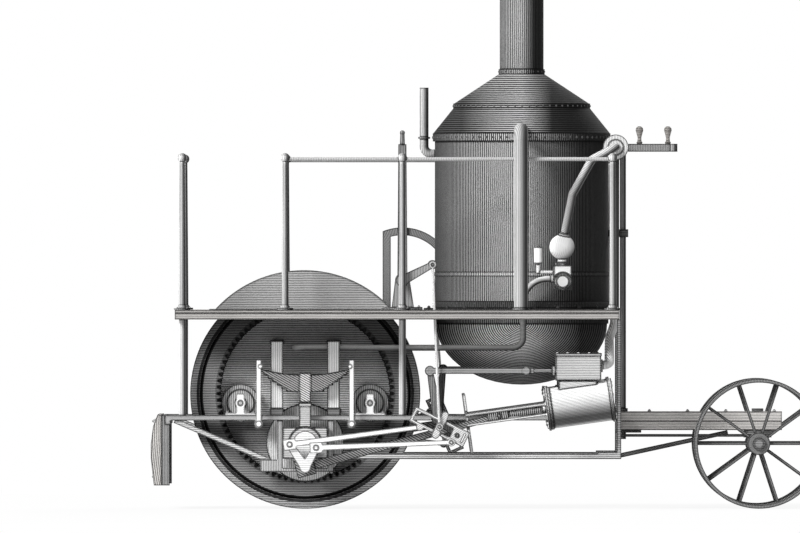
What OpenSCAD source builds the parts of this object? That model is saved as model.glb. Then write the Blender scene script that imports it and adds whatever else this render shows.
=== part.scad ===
// Steam traction engine with an upright boiler, on one wide driving drum and a steered
// fore-truck. Lengths are in millimetres. Inside the modules X runs forward, Y to the
// left and Z up from the middle of the drum; place() stands the whole on the ground.

/* [Drum] */
// Diameter of the driving drum over its plating
drum_d = 1800; // [1770:10:1860]
// Half of the drum's width
drum_half = 760; // [756:1:764]
// Thickness of the drum's plating
drum_plate = 20; // [12:1:26]
// Depth of the hoop round each end of the drum
hoop_depth = 75; // [60:1:80]
// Width of the hoop round each end of the drum
hoop_w = 40; // [20:1:60]

/* [Gearing] */
// Module of the gear teeth
tooth_m = 16; // [15.9:0.1:16.1]
// Teeth in each internal ring gear
ring_teeth = 84; // [82:2:84]
// Teeth in each pinion
pinion_teeth = 36; // [34:2:38]
// Pressure angle of the teeth
press_a = 20; // [18:1:22]
// Play between the teeth on the pitch circle
backlash = 1; // [0.6:0.1:2]
// Radius inside the plain rail that the guide rollers run on
rail_r = 660; // [657:1:664]
// Thickness of the plain rail
rail_t = 40; // [24:1:50]
// Thickness of the smooth disc outside each pinion
shroud_t = 12; // [8:1:16]
// Radius of the pinion's hub
pinion_hub_r = 95; // [85:1:110]

/* [Guide rollers] */
// Radius of the guide rollers' treads
roller_r = 148; // [140:1:152]
// Radius of the roller's stepped hub
roller_hub_r = 105; // [80:1:115]
// Width of the roller's tread
roller_w = 66; // [50:1:70]
// How far the roller shafts lie below the drum's axis
roller_drop = 73; // [65:1:80]
// Radius of the roller shafts
roller_shaft_r = 21; // [18:1:25]
// Length of a roller bearing's foot
bearing_l = 240; // [200:5:260]
// Thickness of a roller bearing's foot
bearing_foot = 20; // [16:1:26]
// Radius of a roller bearing's round cap
bearing_cap_r = 42; // [38:1:50]
// Width of the neck below a roller bearing's cap
bearing_neck = 64; // [54:2:80]

/* [Side frames] */
// Inner face of the side bars, from the middle of the engine
bar_in = 830; // [828:1:834]
// Thickness of the side bars
bar_w = 70; // [60:1:72]
// Depth of the side bars
bar_h = 40; // [34:1:44]
// How far the side bars' tops lie below the drum's axis
bar_drop = 169; // [165:1:173]
// Rear end of the side bars, behind the drum's axis
bar_rear = 1096; // [1060:4:1120]
// Rear face of the front posts, ahead of the drum's axis
post_x = 2437; // [2436:1:2450]
// Size of the front posts along the engine
post_l = 33; // [26:1:40]
// Depth of the lower truss bars
truss_h = 42; // [34:1:48]
// Height of the gap between the side bars and the lower truss bars
truss_gap = 260; // [252:1:268]
// Thickness of the diagonal stays at the rear
stay_h = 40; // [30:1:46]
// Length of the tank posts' feet and heads along the engine
tank_post_l = 100; // [80:2:110]
// Height of the tank posts' tops above the drum's axis
tank_post_top = 414; // [410:1:424]

/* [Axle boxes and springs] */
// Radius of the crankshaft
shaft_r = 60; // [52:1:66]
// Height of the axle box
box_h = 248; // [230:2:270]
// Outer face of the axle boxes and springs
box_out = 985; // [980:1:990]
// Width of a pedestal leg
leg_w = 46; // [36:1:56]
// Radius of the boss on the axle box
boss_r = 125; // [110:1:135]
// Thickness of one spring leaf
leaf_t = 20; // [16:1:22]
// Number of leaves in a spring
leaf_n = 7; // [5:1:8]
// Width of the spring leaves
leaf_w = 70; // [60:1:74]
// Radius that the leaves are bent to
leaf_bend = 1340; // [1300:10:1500]
// Height of the top of the spring above the drum's axis
spring_top = 150; // [140:1:156]
// Half of the length of the longest leaf
spring_half = 365; // [355:1:370]
// How much shorter each half leaf is than the one above
leaf_step = 36; // [28:1:42]
// Width of a hanger plate
hanger_w = 39; // [34:1:46]
// Radius of the hanger's lower pin
hanger_pin_r = 23; // [18:1:25]

/* [Platform] */
// Height of the platform's top above the drum's axis
deck_z = 655; // [650:1:660]
// Half of the platform's width
deck_half = 1280; // [1278:2:1300]
// Rear edge of the platform, behind the drum's axis
deck_rear = 1016; // [1010:2:1060]
// Front edge of the platform, ahead of the drum's axis
deck_front = 2454; // [2450:1:2460]
// Thickness of the platform's boards
board_t = 25; // [20:1:30]
// Width of the platform's boards
board_w = 210; // [190:5:240]
// Gap between the platform's boards
board_gap = 4; // [2:1:8]
// Depth of the platform's joists
joist_h = 49; // [44:1:56]
// Width of the joists across the engine
joist_w = 70; // [50:2:90]
// Height of the handrail above the platform
rail_h = 1178; // [1100:5:1200]
// Diameter of the handrail
rail_d = 30; // [24:1:34]
// Diameter of the rail posts at the foot
rail_post_d = 56; // [46:1:60]
// Radius of the balls on the rail posts
ball_r = 36; // [28:1:40]
// Diameter of the props under the platform
prop_d = 55; // [44:1:60]

/* [Drum cover] */
// Gap between the drum and the top of its cover
cover_gap = 60; // [50:1:80]
// Thickness of the cover's sheet
cover_t = 6; // [4:0.5:8]
// Height of the middle of the cover's curve above the drum's axis
cover_rise = 34; // [30:1:40]
// How far the cover's curve lies ahead of the drum's axis
cover_shift = -14; // [-20:1:-6]
// Inside half-width of the cover
cover_half = 786; // [782:1:790]
// Width of the cover's foot strips
cover_foot = 44; // [36:1:50]

/* [Boiler] */
// Distance of the boiler's axis ahead of the drum's axis
boiler_x = 1696.5; // [1690:0.5:1700]
// Radius of the boiler's shell
boiler_r = 682; // [670:1:686]
// Thickness of the boiler's plates
boiler_plate = 12; // [8:1:16]
// Height of the lower edge of the shell above the drum's axis
shell_z = 546; // [540:1:560]
// Height of the shell from its lower edge to the top ring
shell_h = 1431; // [1400:10:1500]
// Depth of the dished bottom
bowl_h = 480; // [460:5:500]
// Height of the top ring
top_ring_h = 63; // [50:1:70]
// Height of the lower cone
cone_low_h = 195; // [180:5:210]
// Radius of the band between the cones
cone_band_r = 530; // [500:5:560]
// Height of the band between the cones
cone_band_h = 39; // [30:1:50]
// Height of the upper cone
cone_top_h = 230; // [210:5:250]
// Radius of the chimney
chimney_r = 172; // [160:1:180]
// Height of the chimney above the upper cone
chimney_h = 920; // [900:20:1200]
// Thickness of the chimney's plate
chimney_t = 10; // [6:1:14]
// Width of the seat ring round the boiler
seat_w = 88; // [68:2:103]

/* [Fire door] */
// Direction of the fire door round the boiler
fire_door_az = 120; // [112:1:126]
// Width of the fire door
fire_door_w = 320; // [300:5:340]
// Height of the fire door
fire_door_h = 200; // [180:5:220]
// Height of the middle of the fire door above the platform
fire_door_z = 250; // [230:5:280]
// Thickness of the fire door
fire_door_t = 16; // [12:1:20]

/* [Cylinders and motion] */
// Distance of the cylinders from the middle of the engine
cyl_y = 1075; // [1074:1:1078]
// Slope of the cylinders
cyl_tilt = 8; // [7.8:0.1:8.2]
// Distance of the cylinder's rear flange from the crankshaft
cyl_rear = 1902; // [1896:2:1906]
// Length of a cylinder over its flanges
cyl_l = 532; // [520:2:534]
// Radius of a cylinder's barrel
cyl_r = 158; // [152:1:160]
// Radius of a cylinder's flanges
flange_r = 172; // [166:1:174]
// Throw of the cranks
crank_throw = 190.5; // [185:0.5:195]
// Radius of a crank pin
crank_pin_r = 34; // [28:1:38]
// Length of a connecting rod between its pins
rod_l = 1570; // [1560:5:1580]
// Radius of a piston rod
piston_rod_r = 22; // [18:1:25]
// Height over the slide bars
guide_h = 100; // [92:1:108]
// Thickness of a slide bar
guide_t = 20; // [16:1:22]
// Length of a steam chest
chest_l = 356; // [330:2:370]
// Height of a steam chest with its lid
chest_h = 214; // [200:2:230]
// Rear face of the steam chests, ahead of the drum's axis
chest_x = 1956; // [1950:1:1962]
// Height of the steam chests' bottoms above the drum's axis
chest_z = 104; // [100:1:108]

/* [Valve gear] */
// Half of the length of an expansion link
link_half = 235; // [225:1:240]
// Depth of an expansion link
link_h = 128; // [116:1:134]
// Wall of an expansion link
link_wall = 27; // [22:1:30]
// Thickness of the expansion links
gear_t = 28; // [22:1:34]
// Tilt of the near link below the horizontal
near_link_tilt = 26; // [25:0.1:27]
// Tilt of the far link below the horizontal
far_link_tilt = 66.3; // [65.5:0.1:67]
// Height of the valve rods above the drum's axis
valve_rod_z = 180; // [176:1:184]
// Depth of a valve rod
valve_rod_h = 47; // [40:1:50]

/* [Reversing gear] */
// Distance of the reversing shaft ahead of the drum's axis
rev_x = 760; // [756:1:764]
// Height of the reversing shaft above the platform
rev_h = 230; // [224:1:236]
// Radius of the reversing shaft
rev_shaft_r = 26; // [20:1:30]
// Radius of the hubs on the reversing shaft
rev_hub_r = 58; // [50:1:60]
// Length of the hand lever above its shaft
lever_l = 1075; // [1000:5:1100]
// Width of the hand lever
lever_w = 80; // [70:1:84]
// Outer radius of the notched quadrant
quadrant_r = 418; // [408:1:426]
// Depth of the quadrant's band
quadrant_band = 62; // [50:1:66]

/* [Pipes] */
// Radius of the feed pipes
feed_r = 24; // [20:1:27]
// Radius of the exhaust standpipes
exhaust_r = 55; // [48:1:56]
// Radius of the steam pipes
steam_r = 29; // [24:1:31]
// Radius of the steam headers
header_r = 46; // [40:1:48]
// Radius of the relief pipe behind the boiler
relief_r = 35; // [30:1:40]

/* [Rear timber] */
// Thickness of the rear timber
timber_t = 84; // [70:1:90]
// Depth of the rear timber
timber_h = 553; // [520:5:570]
// Half of the rear timber's length across the engine
timber_half = 900; // [900:5:960]
// Thickness of the plate on the rear timber
rear_plate_t = 27; // [20:1:32]
// Radius of the holes for a drawbar
draw_hole_r = 14; // [11:1:17]

/* [Perch and fore-truck] */
// Distance of the truck's king pin ahead of the drum's axis
truck_x = 3549; // [3520:1:3600]
// Diameter of the front wheels
wheel_d = 1016; // [1000:4:1040]
// Width of a front wheel's rim
wheel_w = 300; // [260:5:310]
// Thickness of a front wheel's rim
wheel_rim = 30; // [22:1:36]
// Number of spokes in a front wheel
wheel_spokes = 10; // [8:1:12]
// Distance of the front wheels from the middle of the engine
wheel_y = 640; // [630:1:650]
// Depth of the front axle
axle_h = 90; // [80:1:96]
// Radius of the spindles that the front wheels turn on
spindle_r = 35; // [30:1:40]
// Radius of the king pin
king_r = 28; // [24:1:32]
// Depth of the lower perch timber
perch_low_h = 69; // [60:1:74]
// Depth of the upper perch timber
perch_top_h = 78; // [70:1:82]
// Half of the perch's width
perch_half = 95; // [90:1:98]
// How far the perch's underside lies below the drum's axis
perch_drop = 290; // [286:1:294]
// Length of the perch ahead of the king pin
perch_nose = 190; // [170:5:230]

/* [Steering] */
// Distance of the steering column ahead of the drum's axis
column_x = 2492; // [2490:1:2496]
// Diameter of the steering column
column_d = 48; // [42:1:50]
// Height of the column's crank arm above the platform
crank_arm_z = 1241; // [1200:5:1280]
// Thickness of the column's crank arm
crank_arm_t = 62; // [50:1:66]
// Reach of the column's crank arm
crank_arm_l = 428; // [410:1:440]
// Half of the distance between the two steering rods
yoke_half = 150; // [144:1:156]
// Width of a steering rod
steer_rod_w = 34; // [28:1:36]

/* [Hidden] */
$fn = 64;

// Places that several parts share, from the drum's axis
// Teeth of the ring gears, across
ring_in = 670;
ring_out = 750;
// Inner face of the rails
rail_in = 585;
// Feed pipe and pump, to the right
feed_y = 797;
// Exhaust pipes
exhaust_y = deck_half - 65;
exhaust_x = 1686;
// Valve gear, to the side
gear_y = 1140;
// Half-length of an axle box
box_half = 175.7;
// Handrails, to the side
rail_y = deck_half - 140;
// Spring hangers, ahead and behind
hanger_x = 363;
// Tank posts, ahead and behind
tank_post_x = 222;
// Rear end of the slide bars
guide_rear = 1268;

// Gap between pieces that rest on each other round a curve
seat = 0.3;
// Gap between a turning piece and its bearing
run = 0.06;
// Gap kept between pieces that move past each other
pass = 6;

// Colours, from the shades of the engraving
dark_iron = "#3b3b3d";
mid_iron = "#6b6b6e";
pale_iron = "#a9a9ab";
bright_iron = "#d4d4d6";
pale_wood = "#b9b2a6";
boiler_black = "#2c2c2e";

// Drum and gears
drum_r = drum_d / 2;
drum_bore = drum_r - drum_plate;
hoop_bore = drum_r - hoop_depth;
ring_r = tooth_m * ring_teeth / 2;
pinion_r = tooth_m * pinion_teeth / 2;
tip = tooth_m;
root = 1.25 * tooth_m;
ring_body_r = hoop_bore - 14;
crank_z = pinion_r - ring_r;
crank_at = [0, crank_z];
roller_x = sqrt(pow(rail_r - roller_r - seat, 2) - pow(roller_drop, 2));
roller_y = [rail_in + 5, rail_in + 5 + roller_w];
shroud_in = ring_out + pass;
shroud_out = shroud_in + shroud_t;

// Frame
bar_out = bar_in + bar_w;
bar_z = [-bar_drop - bar_h, -bar_drop];
truss_z = [bar_z[0] - truss_gap - truss_h, bar_z[0] - truss_gap];
leg_y = [bar_in + 10, bar_out - 10];
leg_x = box_half + seat;
keeper_t = 30;
keeper_z = [crank_z - 226, crank_z - 226 + keeper_t];
foot_reach = 130;
tank_post_y = [bar_in + 5, bar_out - 5];
beam_h = 52;
beam_top = -bar_drop + beam_h;
head_t = 24;
head_z = [tank_post_top - head_t, tank_post_top];
tank_r = 700;
tank_half_w = 560;

// Axle boxes and springs
box_z = [crank_z - box_h / 2, crank_z + box_h / 2];
spring_y = [box_out - leaf_w, box_out];
buckle_h = 232;
buckle_z = [spring_top + 14 - buckle_h, spring_top + 14];
pad_t = 32;
hanger_y = [[spring_y[0] - 12, spring_y[0] - 4], [spring_y[1] + 4, spring_y[1] + 12]];
hanger_z = [-236, 265];
upper_pin_r = 16;

// Platform
under_z = deck_z - board_t - joist_h;
joist_z = [under_z, deck_z - board_t];
drum_slot_x = sqrt(drum_r * drum_r - under_z * under_z) + 13;
board_slot_x = drum_slot_x - 40;
drum_slot_y = cover_half - 1;
boiler_hole_r = boiler_r + 23;
rail_z = deck_z + rail_h;
rail_post_x = [-959, -156, 760, 2402];

// Cover over the drum
cover_r = drum_r + cover_gap + cover_t - cover_rise;
cover_span = sqrt(cover_r * cover_r - pow(deck_z - cover_rise, 2));

// Boiler
ring_z = shell_z + shell_h;
cone_z = ring_z + top_ring_h;
band_z = cone_z + cone_low_h;
cone_top_z = band_z + cone_band_h;
stack_z = cone_top_z + cone_top_h;
cone_r = boiler_r + 13;
bowl_r = boiler_r - 10;
bead_z = 920;
bead_h = 30;
bead_t = 4;
band_lip = 8;

// Fore-truck and steering
wheel_r = wheel_d / 2;
axle_z = wheel_r - drum_r;
perch_z = -perch_drop;
perch_top = perch_z + perch_low_h + perch_top_h;
turn_r = 110;
axle_top = axle_z + axle_h / 2;
steer_rod_z = [perch_z - 52, perch_z - 32];
yoke_arm_z = [steer_rod_z[0] - 18, steer_rod_z[0] - 2];
yoke_pin_r = 10;

// Steam header and the branches from it
head_at = [2428, 1927];
branch_y = 700;

// Overall length, with the origin below its middle
front_x = truck_x + wheel_r;
rear_x = bar_rear + rear_plate_t + timber_t;
mid_x = (front_x - rear_x) / 2;

// Motion. Points are [X, Z] from the drum's axis, for the near and the far side
rod_half = 14;
box_end = 75;
web = [box_out + 15, box_out + 55];
web_r = [95, 62];
return_y = [cyl_y + 37, cyl_y + 60];
return_pins = [[-121, -11], [86, -36]];
return_pin_r = 20;
rod_a_y = [gear_y - 2, gear_y + 14];
link_y = [gear_y + 16, gear_y + 16 + gear_t];
rod_b_y = [link_y[1] + 2, link_y[1] + 18];
saddle_y = [link_y[1] + 2, link_y[1] + 8];
lift_eye_y = [saddle_y[1] + 10, saddle_y[1] + 40];
link_eyes = [[-136, -68], [136, -68]];
link_eye_r = 38;
link_pin_r = 16;
die_pin_r = 16;
saddle_pin_r = 14;
link_mid = [[1049, -257], [1094.3, -254.3]];
link_tilt = [near_link_tilt, far_link_tilt];
rocker_hub = [1037, -187];
rocker_arms = [372.2, 202.3];
rocker_bend = 142.2;
rocker_y = [cyl_y + 40, cyl_y + 60];
valve_pin_x = 1726;
valve_y = [cyl_y + 38, cyl_y + 62];
arm_pin = [995, 1009];
arm_pin_r = 13;
arm_y = [rail_y - rail_post_d / 2 - 36, rail_y - rail_post_d / 2 - 12];
crank_turn = [-90, 0];
gland_r = 32;

// Moves the middle of the drum to its height over the ground, and the origin below the
// middle of the overall length
module place() {
    translate([-mid_x, 0, drum_r]) children();
}

// The children on the right side and mirrored on the left
module both() {
    mirror([0, 1, 0]) children();
    children();
}

// Block between the pairs of limits x, y and z
module box(x, y, z) {
    translate([x[0], y[0], z[0]]) cube([x[1] - x[0], y[1] - y[0], z[1] - z[0]]);
}

// Round bar across the engine at p = [X, Z], between the limits y
module across(p, r, y) {
    translate([p[0], y[1], p[1]]) rotate([90, 0, 0]) cylinder(r = r, h = y[1] - y[0]);
}

// Outline drawn in X and Z, thickened between the limits y
module slab(y) {
    translate([0, y[1], 0]) rotate([90, 0, 0]) linear_extrude(y[1] - y[0]) children();
}

// Outline of a flat bar from p to q, w[0] wide at p and w[1] wide at q
module strip(p, q, w) {
    n = [p[1] - q[1], q[0] - p[0]] / norm(q - p) / 2;
    polygon([p + n * w[0], q + n * w[1], q - n * w[1], p - n * w[0]]);
}

// Round outline at p
module disc(p, r) {
    translate(p) circle(r = r);
}

// Rectangle between the limits x and z
module plate(x, z) {
    translate([x[0], z[0]]) square([x[1] - x[0], z[1] - z[0]]);
}

// Straight round bar from a to b, tapering from radius r to radius s
module rod(a, b, r, s) {
    d = b - a;
    translate(a) rotate([0, acos(d[2] / norm(d)), atan2(d[1], d[0])])
        cylinder(r1 = r, r2 = s, h = norm(d));
}

function unit(v) = v / norm(v);

// Round pipe of radius r along the points p, bent by the radius bend at each point between
// them, or by last_bend at the last of them. The straight lengths run a little way into
// the bends, and are a hair thinner
module pipe(p, r, bend, last_bend = 0) {
    lap = 1;
    step = 0.2;
    last = len(p) - 1;
    turn = [for (i = [0:last]) i == 0 || i == last ? 0
        : acos(unit(p[i] - p[i - 1]) * unit(p[i + 1] - p[i]))];
    bends = [for (i = [0:last]) i == last - 1 && last_bend > 0 ? last_bend : bend];
    cut = [for (i = [0:last]) bends[i] * tan(turn[i] / 2)];
    for (i = [1:last]) {
        u = unit(p[i] - p[i - 1]);
        ends = [cut[i - 1] - (i > 1 ? lap : 0), cut[i] - (i < last ? lap : 0)];
        rod(p[i - 1] + u * ends[0], p[i] - u * ends[1], r - step, r - step);
    }
    for (i = [1:last - 1]) {
        u = unit(p[i] - p[i - 1]);
        v = unit(p[i + 1] - p[i]);
        out = -unit(v - u * cos(turn[i]));
        axis = cross(out, u);
        middle = p[i] - u * cut[i] - out * bends[i];
        multmatrix([
            [out[0], u[0], axis[0], middle[0]],
            [out[1], u[1], axis[1], middle[1]],
            [out[2], u[2], axis[2], middle[2]],
            [0, 0, 0, 1]
        ])
            rotate_extrude(angle = turn[i]) translate([bends[i], 0]) circle(r = r);
    }
}

// Everything along the slope of the cylinders, with X from the crankshaft, Y from the
// cylinders' plane and Z square to the slope
module on_slope() {
    translate([0, -cyl_y, crank_z]) rotate([0, -cyl_tilt, 0]) children();
}

// Degrees that an involute has turned at the pressure angle a
function involute(a) = tan(a) * 180 / PI - a;

// Half of the angle that a tooth of a gear with n teeth takes at radius r
function tooth_half(n, r) =
    let (base = tooth_m * n / 2 * cos(press_a))
    90 / n + involute(press_a) - involute(acos(min(1, base / r)));

function polar(r, a) = [r * cos(a), r * sin(a)];

// Gear outline with n teeth between the radii rs, thinned by play
module gear_outline(n, rs, play) {
    half = [for (r = rs) tooth_half(n, r) - play / r * 90 / PI];
    polygon([for (i = [0:n - 1]) each [
        for (j = [0:len(rs) - 1]) polar(rs[j], -90 + i * 360 / n - half[j]),
        for (j = [len(rs) - 1:-1:0]) polar(rs[j], -90 + i * 360 / n + half[j])
    ]]);
}

// Point of a link, given from its middle along and square to its slot
function on_link(side, p) = link_mid[side] + [
    p[0] * cos(link_tilt[side]) + p[1] * sin(link_tilt[side]),
    p[1] * cos(link_tilt[side]) - p[0] * sin(link_tilt[side])
];

// Place of the die block along the link's slot
function die_along(side) =
    let (w = link_mid[side] - rocker_hub,
        a = w * [cos(link_tilt[side]), -sin(link_tilt[side])])
    sqrt(a * a - w * w + pow(rocker_arms[1], 2)) - a;
function die_at(side) = on_link(side, [die_along(side), 0]);
function rocker_top(side) =
    let (d = die_at(side) - rocker_hub)
    rocker_hub + polar(rocker_arms[0], atan2(d[1], d[0]) + rocker_bend);

// Point turned with the crank, from the crankshaft
function on_crank(side, p) =
    let (a = crank_turn[side] + 90)
    crank_at + [p[0] * cos(a) - p[1] * sin(a), p[0] * sin(a) + p[1] * cos(a)];
function crank_pin(side) = crank_at + polar(crank_throw, crank_turn[side]);

// Distance of a crosshead pin from the crankshaft along the slope
function head_along(side) =
    let (a = crank_turn[side] - cyl_tilt, high = crank_throw * sin(a))
    crank_throw * cos(a) + sqrt(rod_l * rod_l - high * high);
function head_at(side) = crank_at + polar(head_along(side), cyl_tilt);

// Runs its children once for the near side, and mirrored for the far side
module near_and_far() {
    for (side = [0, 1]) {
        $side = side;
        mirror([0, side, 0]) children();
    }
}

// Solid shape of the boiler, larger by grow, to cut what seats on it
module boiler_form(grow) {
    translate([boiler_x, 0, 0]) rotate_extrude($fn = 360) polygon([
        [0, shell_z - bowl_h], [boiler_r + grow, shell_z], [boiler_r + grow, bead_z - grow],
        [boiler_r + bead_t + grow, bead_z - grow],
        [boiler_r + bead_t + grow, bead_z + bead_h + grow],
        [boiler_r + grow, bead_z + bead_h + grow], [boiler_r + grow, ring_z - grow],
        [cone_r + 3 + grow, ring_z - grow], [cone_r + 3 + grow, cone_z + grow],
        [cone_r + grow, cone_z + grow], [cone_band_r + band_lip + grow, band_z + grow],
        [0, band_z + grow]
    ]);
}

// Ring of radius r and bore b, between the heights z, round the boiler's axis
module boiler_ring(r, b, z) {
    translate([boiler_x, 0, z[0]]) difference() {
        cylinder(r = r, h = z[1] - z[0]);
        translate([0, 0, -1]) cylinder(r = b, h = z[1] - z[0] + 2);
    }
}

// Drum: plating with a deep hoop at each end, open right through
module drum_shell() {
    color(mid_iron) place() difference() {
        across([0, 0], drum_r, [-drum_half, drum_half]);
        across([0, 0], hoop_bore, [-drum_half - 1, drum_half + 1]);
        across([0, 0], drum_bore, [-drum_half + hoop_w, drum_half - hoop_w]);
    }
}

// Internal ring gears with their rails and flanges
module ring_gears() {
    seat_r = drum_bore - seat;
    color(dark_iron) place() both() {
        rotate([90, 0, 0]) rotate_extrude() polygon([
            [rail_r, rail_in], [rail_r + rail_t, rail_in], [rail_r + rail_t + 20, ring_in - 20],
            [seat_r, ring_in - 20], [seat_r, ring_in], [ring_body_r, ring_in],
            [ring_body_r, ring_out], [ring_r + root + 6, ring_out],
            [ring_r + root + 6, ring_in - 1], [rail_r, ring_in - 1]
        ]);
        slab([-ring_out, -ring_in + 1]) difference() {
            circle(r = ring_r + root + 12);
            gear_outline(ring_teeth, [ring_r - tip, ring_r, ring_r + root], 0);
        }
    }
}

// Pinions with smooth discs outside their teeth
module pinions() {
    color(pale_iron) place() both() difference() {
        union() {
            slab([-shroud_in, -ring_in - 2]) translate(crank_at)
                gear_outline(pinion_teeth, [pinion_r - root, pinion_r, pinion_r + tip], backlash);
            across(crank_at, pinion_r + tip + 2, [-shroud_out, -shroud_in]);
            across(crank_at, pinion_hub_r, [-shroud_out - 30, -ring_in + 30]);
        }
        across(crank_at, shaft_r + run, [-bar_in, -rail_in]);
        difference() {
            across(crank_at, pinion_r - root - 30, [-shroud_in + 36, -ring_in + 1]);
            across(crank_at, pinion_hub_r, [-shroud_in, -ring_in + 2]);
        }
    }
}

// Pair of guide rollers on their shaft
module rollers(x) {
    at = [x, -roller_drop];
    color(pale_iron) place() {
        across(at, roller_shaft_r, [-bar_out, bar_out]);
        both() {
            across(at, roller_r, [-roller_y[1], -roller_y[0]]);
            across(at, roller_hub_r, [-roller_y[1] - 14, -roller_y[0] + 10]);
            across(at, roller_shaft_r + 22, [-roller_y[1] - 34, -roller_y[0] + 14]);
        }
    }
}
module rear_rollers() {
    rollers(-roller_x);
}
module front_rollers() {
    rollers(roller_x);
}

// Side bars, with a rear block and lugs for the spring hangers
module side_frames() {
    color(bright_iron) place() both() difference() {
        union() {
            box([-bar_rear, post_x], -[bar_out, bar_in], bar_z);
            box([-bar_rear, -bar_rear + 43], -[bar_out, bar_in], [bar_z[0] - 30, bar_z[0]]);
            for (s = [-1, 1])
                box([s * hanger_x - 32, s * hanger_x + 32], -[bar_out, bar_in],
                    [hanger_z[0] - 30, bar_z[0]]);
        }
        for (s = [-1, 1])
            across([s * hanger_x, hanger_z[0]], hanger_pin_r + seat, [-bar_out - 1, -bar_in + 1]);
    }
}

// Bars across the engine between the side frames
module cross_members() {
    inner = tank_post_x + 10;
    low = [inner, tank_post_x + tank_post_l / 2];
    beam_z = [-bar_drop, beam_top];
    color(mid_iron) place() {
        for (s = [-1, 1]) {
            x = s > 0 ? low : -[low[1], low[0]];
            box(x, [-bar_in, bar_in], beam_z);
            foot = [s * tank_post_x - tank_post_l / 2, s * tank_post_x + tank_post_l / 2];
            both() box(foot, -[tank_post_y[1], bar_in], beam_z);
            box(foot, [-tank_post_y[0], tank_post_y[0]], head_z);
        }
        headstock();
        box([1180, 1240], [-bar_in, bar_in], bar_z);
        box([post_x, post_x + post_l], [-bar_in, bar_in], truss_z);
    }
}

// Plate across the front, with a window for the perch
module headstock() {
    difference() {
        box([post_x, post_x + 23], [-bar_in, bar_in], [perch_z - 20, perch_top]);
        box([post_x - 1, post_x + 24], [-perch_half, perch_half], [perch_z, perch_top + 1]);
    }
}

// Lower bars, rear stays and front posts that truss the side frames
module truss_bars() {
    rear_top = [-bar_rear + 74, bar_z[0]];
    rear_low = [-leg_x - leg_w - 60, crank_z - 140];
    color(mid_iron) place() both() {
        box([leg_x + leg_w, post_x + post_l], -[bar_out, bar_in], truss_z);
        box([post_x, post_x + post_l], -[bar_out, bar_in], [truss_z[1], under_z]);
        box([post_x - 150, post_x], -[bar_out, bar_in], [truss_z[1], truss_z[1] + 12]);
        slab(-[leg_y[1], leg_y[0]]) difference() {
            strip(rear_top, rear_low, [stay_h, stay_h]);
            plate([rear_top[0] - 100, rear_top[0] + 100], [bar_z[0], bar_z[0] + 100]);
            plate([-leg_x - leg_w - 130, 0], [crank_z - 400, crank_z - 131]);
        }
    }
}

// Pedestals that the axle boxes slide in, each with its keeper plate
module pedestals() {
    foot_z = [keeper_z[0], crank_z - 131];
    color(pale_iron) place() both() slab(-[leg_y[1], leg_y[0]]) {
        for (s = [-1, 1])
            plate(s > 0 ? [leg_x, leg_x + leg_w] : -[leg_x + leg_w, leg_x], [keeper_z[0], bar_z[0]]);
        plate([-leg_x - leg_w - foot_reach, leg_x + leg_w], keeper_z);
        plate([-leg_x - leg_w - foot_reach, -leg_x], foot_z);
    }
}

// Axle boxes with their bosses, and the pillars that carry the springs
module axle_boxes() {
    pad_z = [buckle_z[0] - pad_t, buckle_z[0]];
    color(bright_iron) place() both() difference() {
        union() {
            box([-box_half, box_half], -[box_out, bar_in + 5], box_z);
            across(crank_at, boss_r, [-box_out - 10, -box_out]);
            box([-47, 47], -[spring_y[1], spring_y[0]], [box_z[1], pad_z[0]]);
            box([-52, 52], -[spring_y[1] + 3, spring_y[0] - 3], pad_z);
        }
        across(crank_at, shaft_r + seat, [-box_out - 20, -bar_in]);
    }
}

// Leaf springs with their buckles, bent ends upwards
module leaf_springs() {
    middle = [0, spring_top + leaf_bend];
    color(pale_iron) place() both() {
        slab(-[spring_y[1], spring_y[0]]) for (i = [0:leaf_n - 1]) intersection() {
            difference() {
                disc(middle, leaf_bend + (i + 1) * leaf_t + 0.5, $fn = 360);
                disc(middle, leaf_bend + i * leaf_t, $fn = 360);
            }
            plate([-1, 1] * (spring_half - i * leaf_step), [-leaf_n * leaf_t, spring_top + 150]);
        }
        box([-45, 45], -[spring_y[1] + 5, spring_y[0] - 5], buckle_z);
    }
}

// Hangers from the side frames to the ends of the springs
module spring_hangers() {
    rise = pow(hanger_x - 13, 2) / leaf_bend / 2;
    color(bright_iron) place() both() for (s = [-1, 1]) {
        for (y = hanger_y) slab(-[y[1], y[0]]) {
            plate([s * hanger_x - hanger_w / 2, s * hanger_x + hanger_w / 2], hanger_z);
            disc([s * hanger_x, hanger_z[0]], hanger_pin_r + 10);
        }
        across([s * hanger_x, hanger_z[0]], hanger_pin_r, -[hanger_y[1][1] + 8, bar_in - 4]);
        across([s * (hanger_x - 13), spring_top + rise + upper_pin_r + seat + 1.5], upper_pin_r,
            -[hanger_y[1][1] + 6, hanger_y[0][0] - 6]);
    }
}

// Plummer blocks for the guide rollers' shafts
module roller_bearings() {
    color(bright_iron) place() both() for (s = [-1, 1]) {
        x = s * roller_x;
        slab(-[bar_out, bar_in]) difference() {
            union() {
                plate([x - bearing_l / 2, x + bearing_l / 2], [-bar_drop, -bar_drop + bearing_foot]);
                plate([x - bearing_neck / 2, x + bearing_neck / 2],
                    [-bar_drop, bearing_cap_r + 32 - roller_drop]);
                disc([x, -roller_drop], bearing_cap_r);
            }
            disc([x, -roller_drop], roller_shaft_r + run);
        }
    }
}

// Upright posts beside the drum that hold the tank's cross bars
module tank_posts() {
    color(bright_iron) place() both() for (s = [-1, 1])
        box([s * tank_post_x - tank_post_l / 2, s * tank_post_x + tank_post_l / 2],
            -[tank_post_y[1], tank_post_y[0]], [beam_top, tank_post_top]);
}

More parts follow.
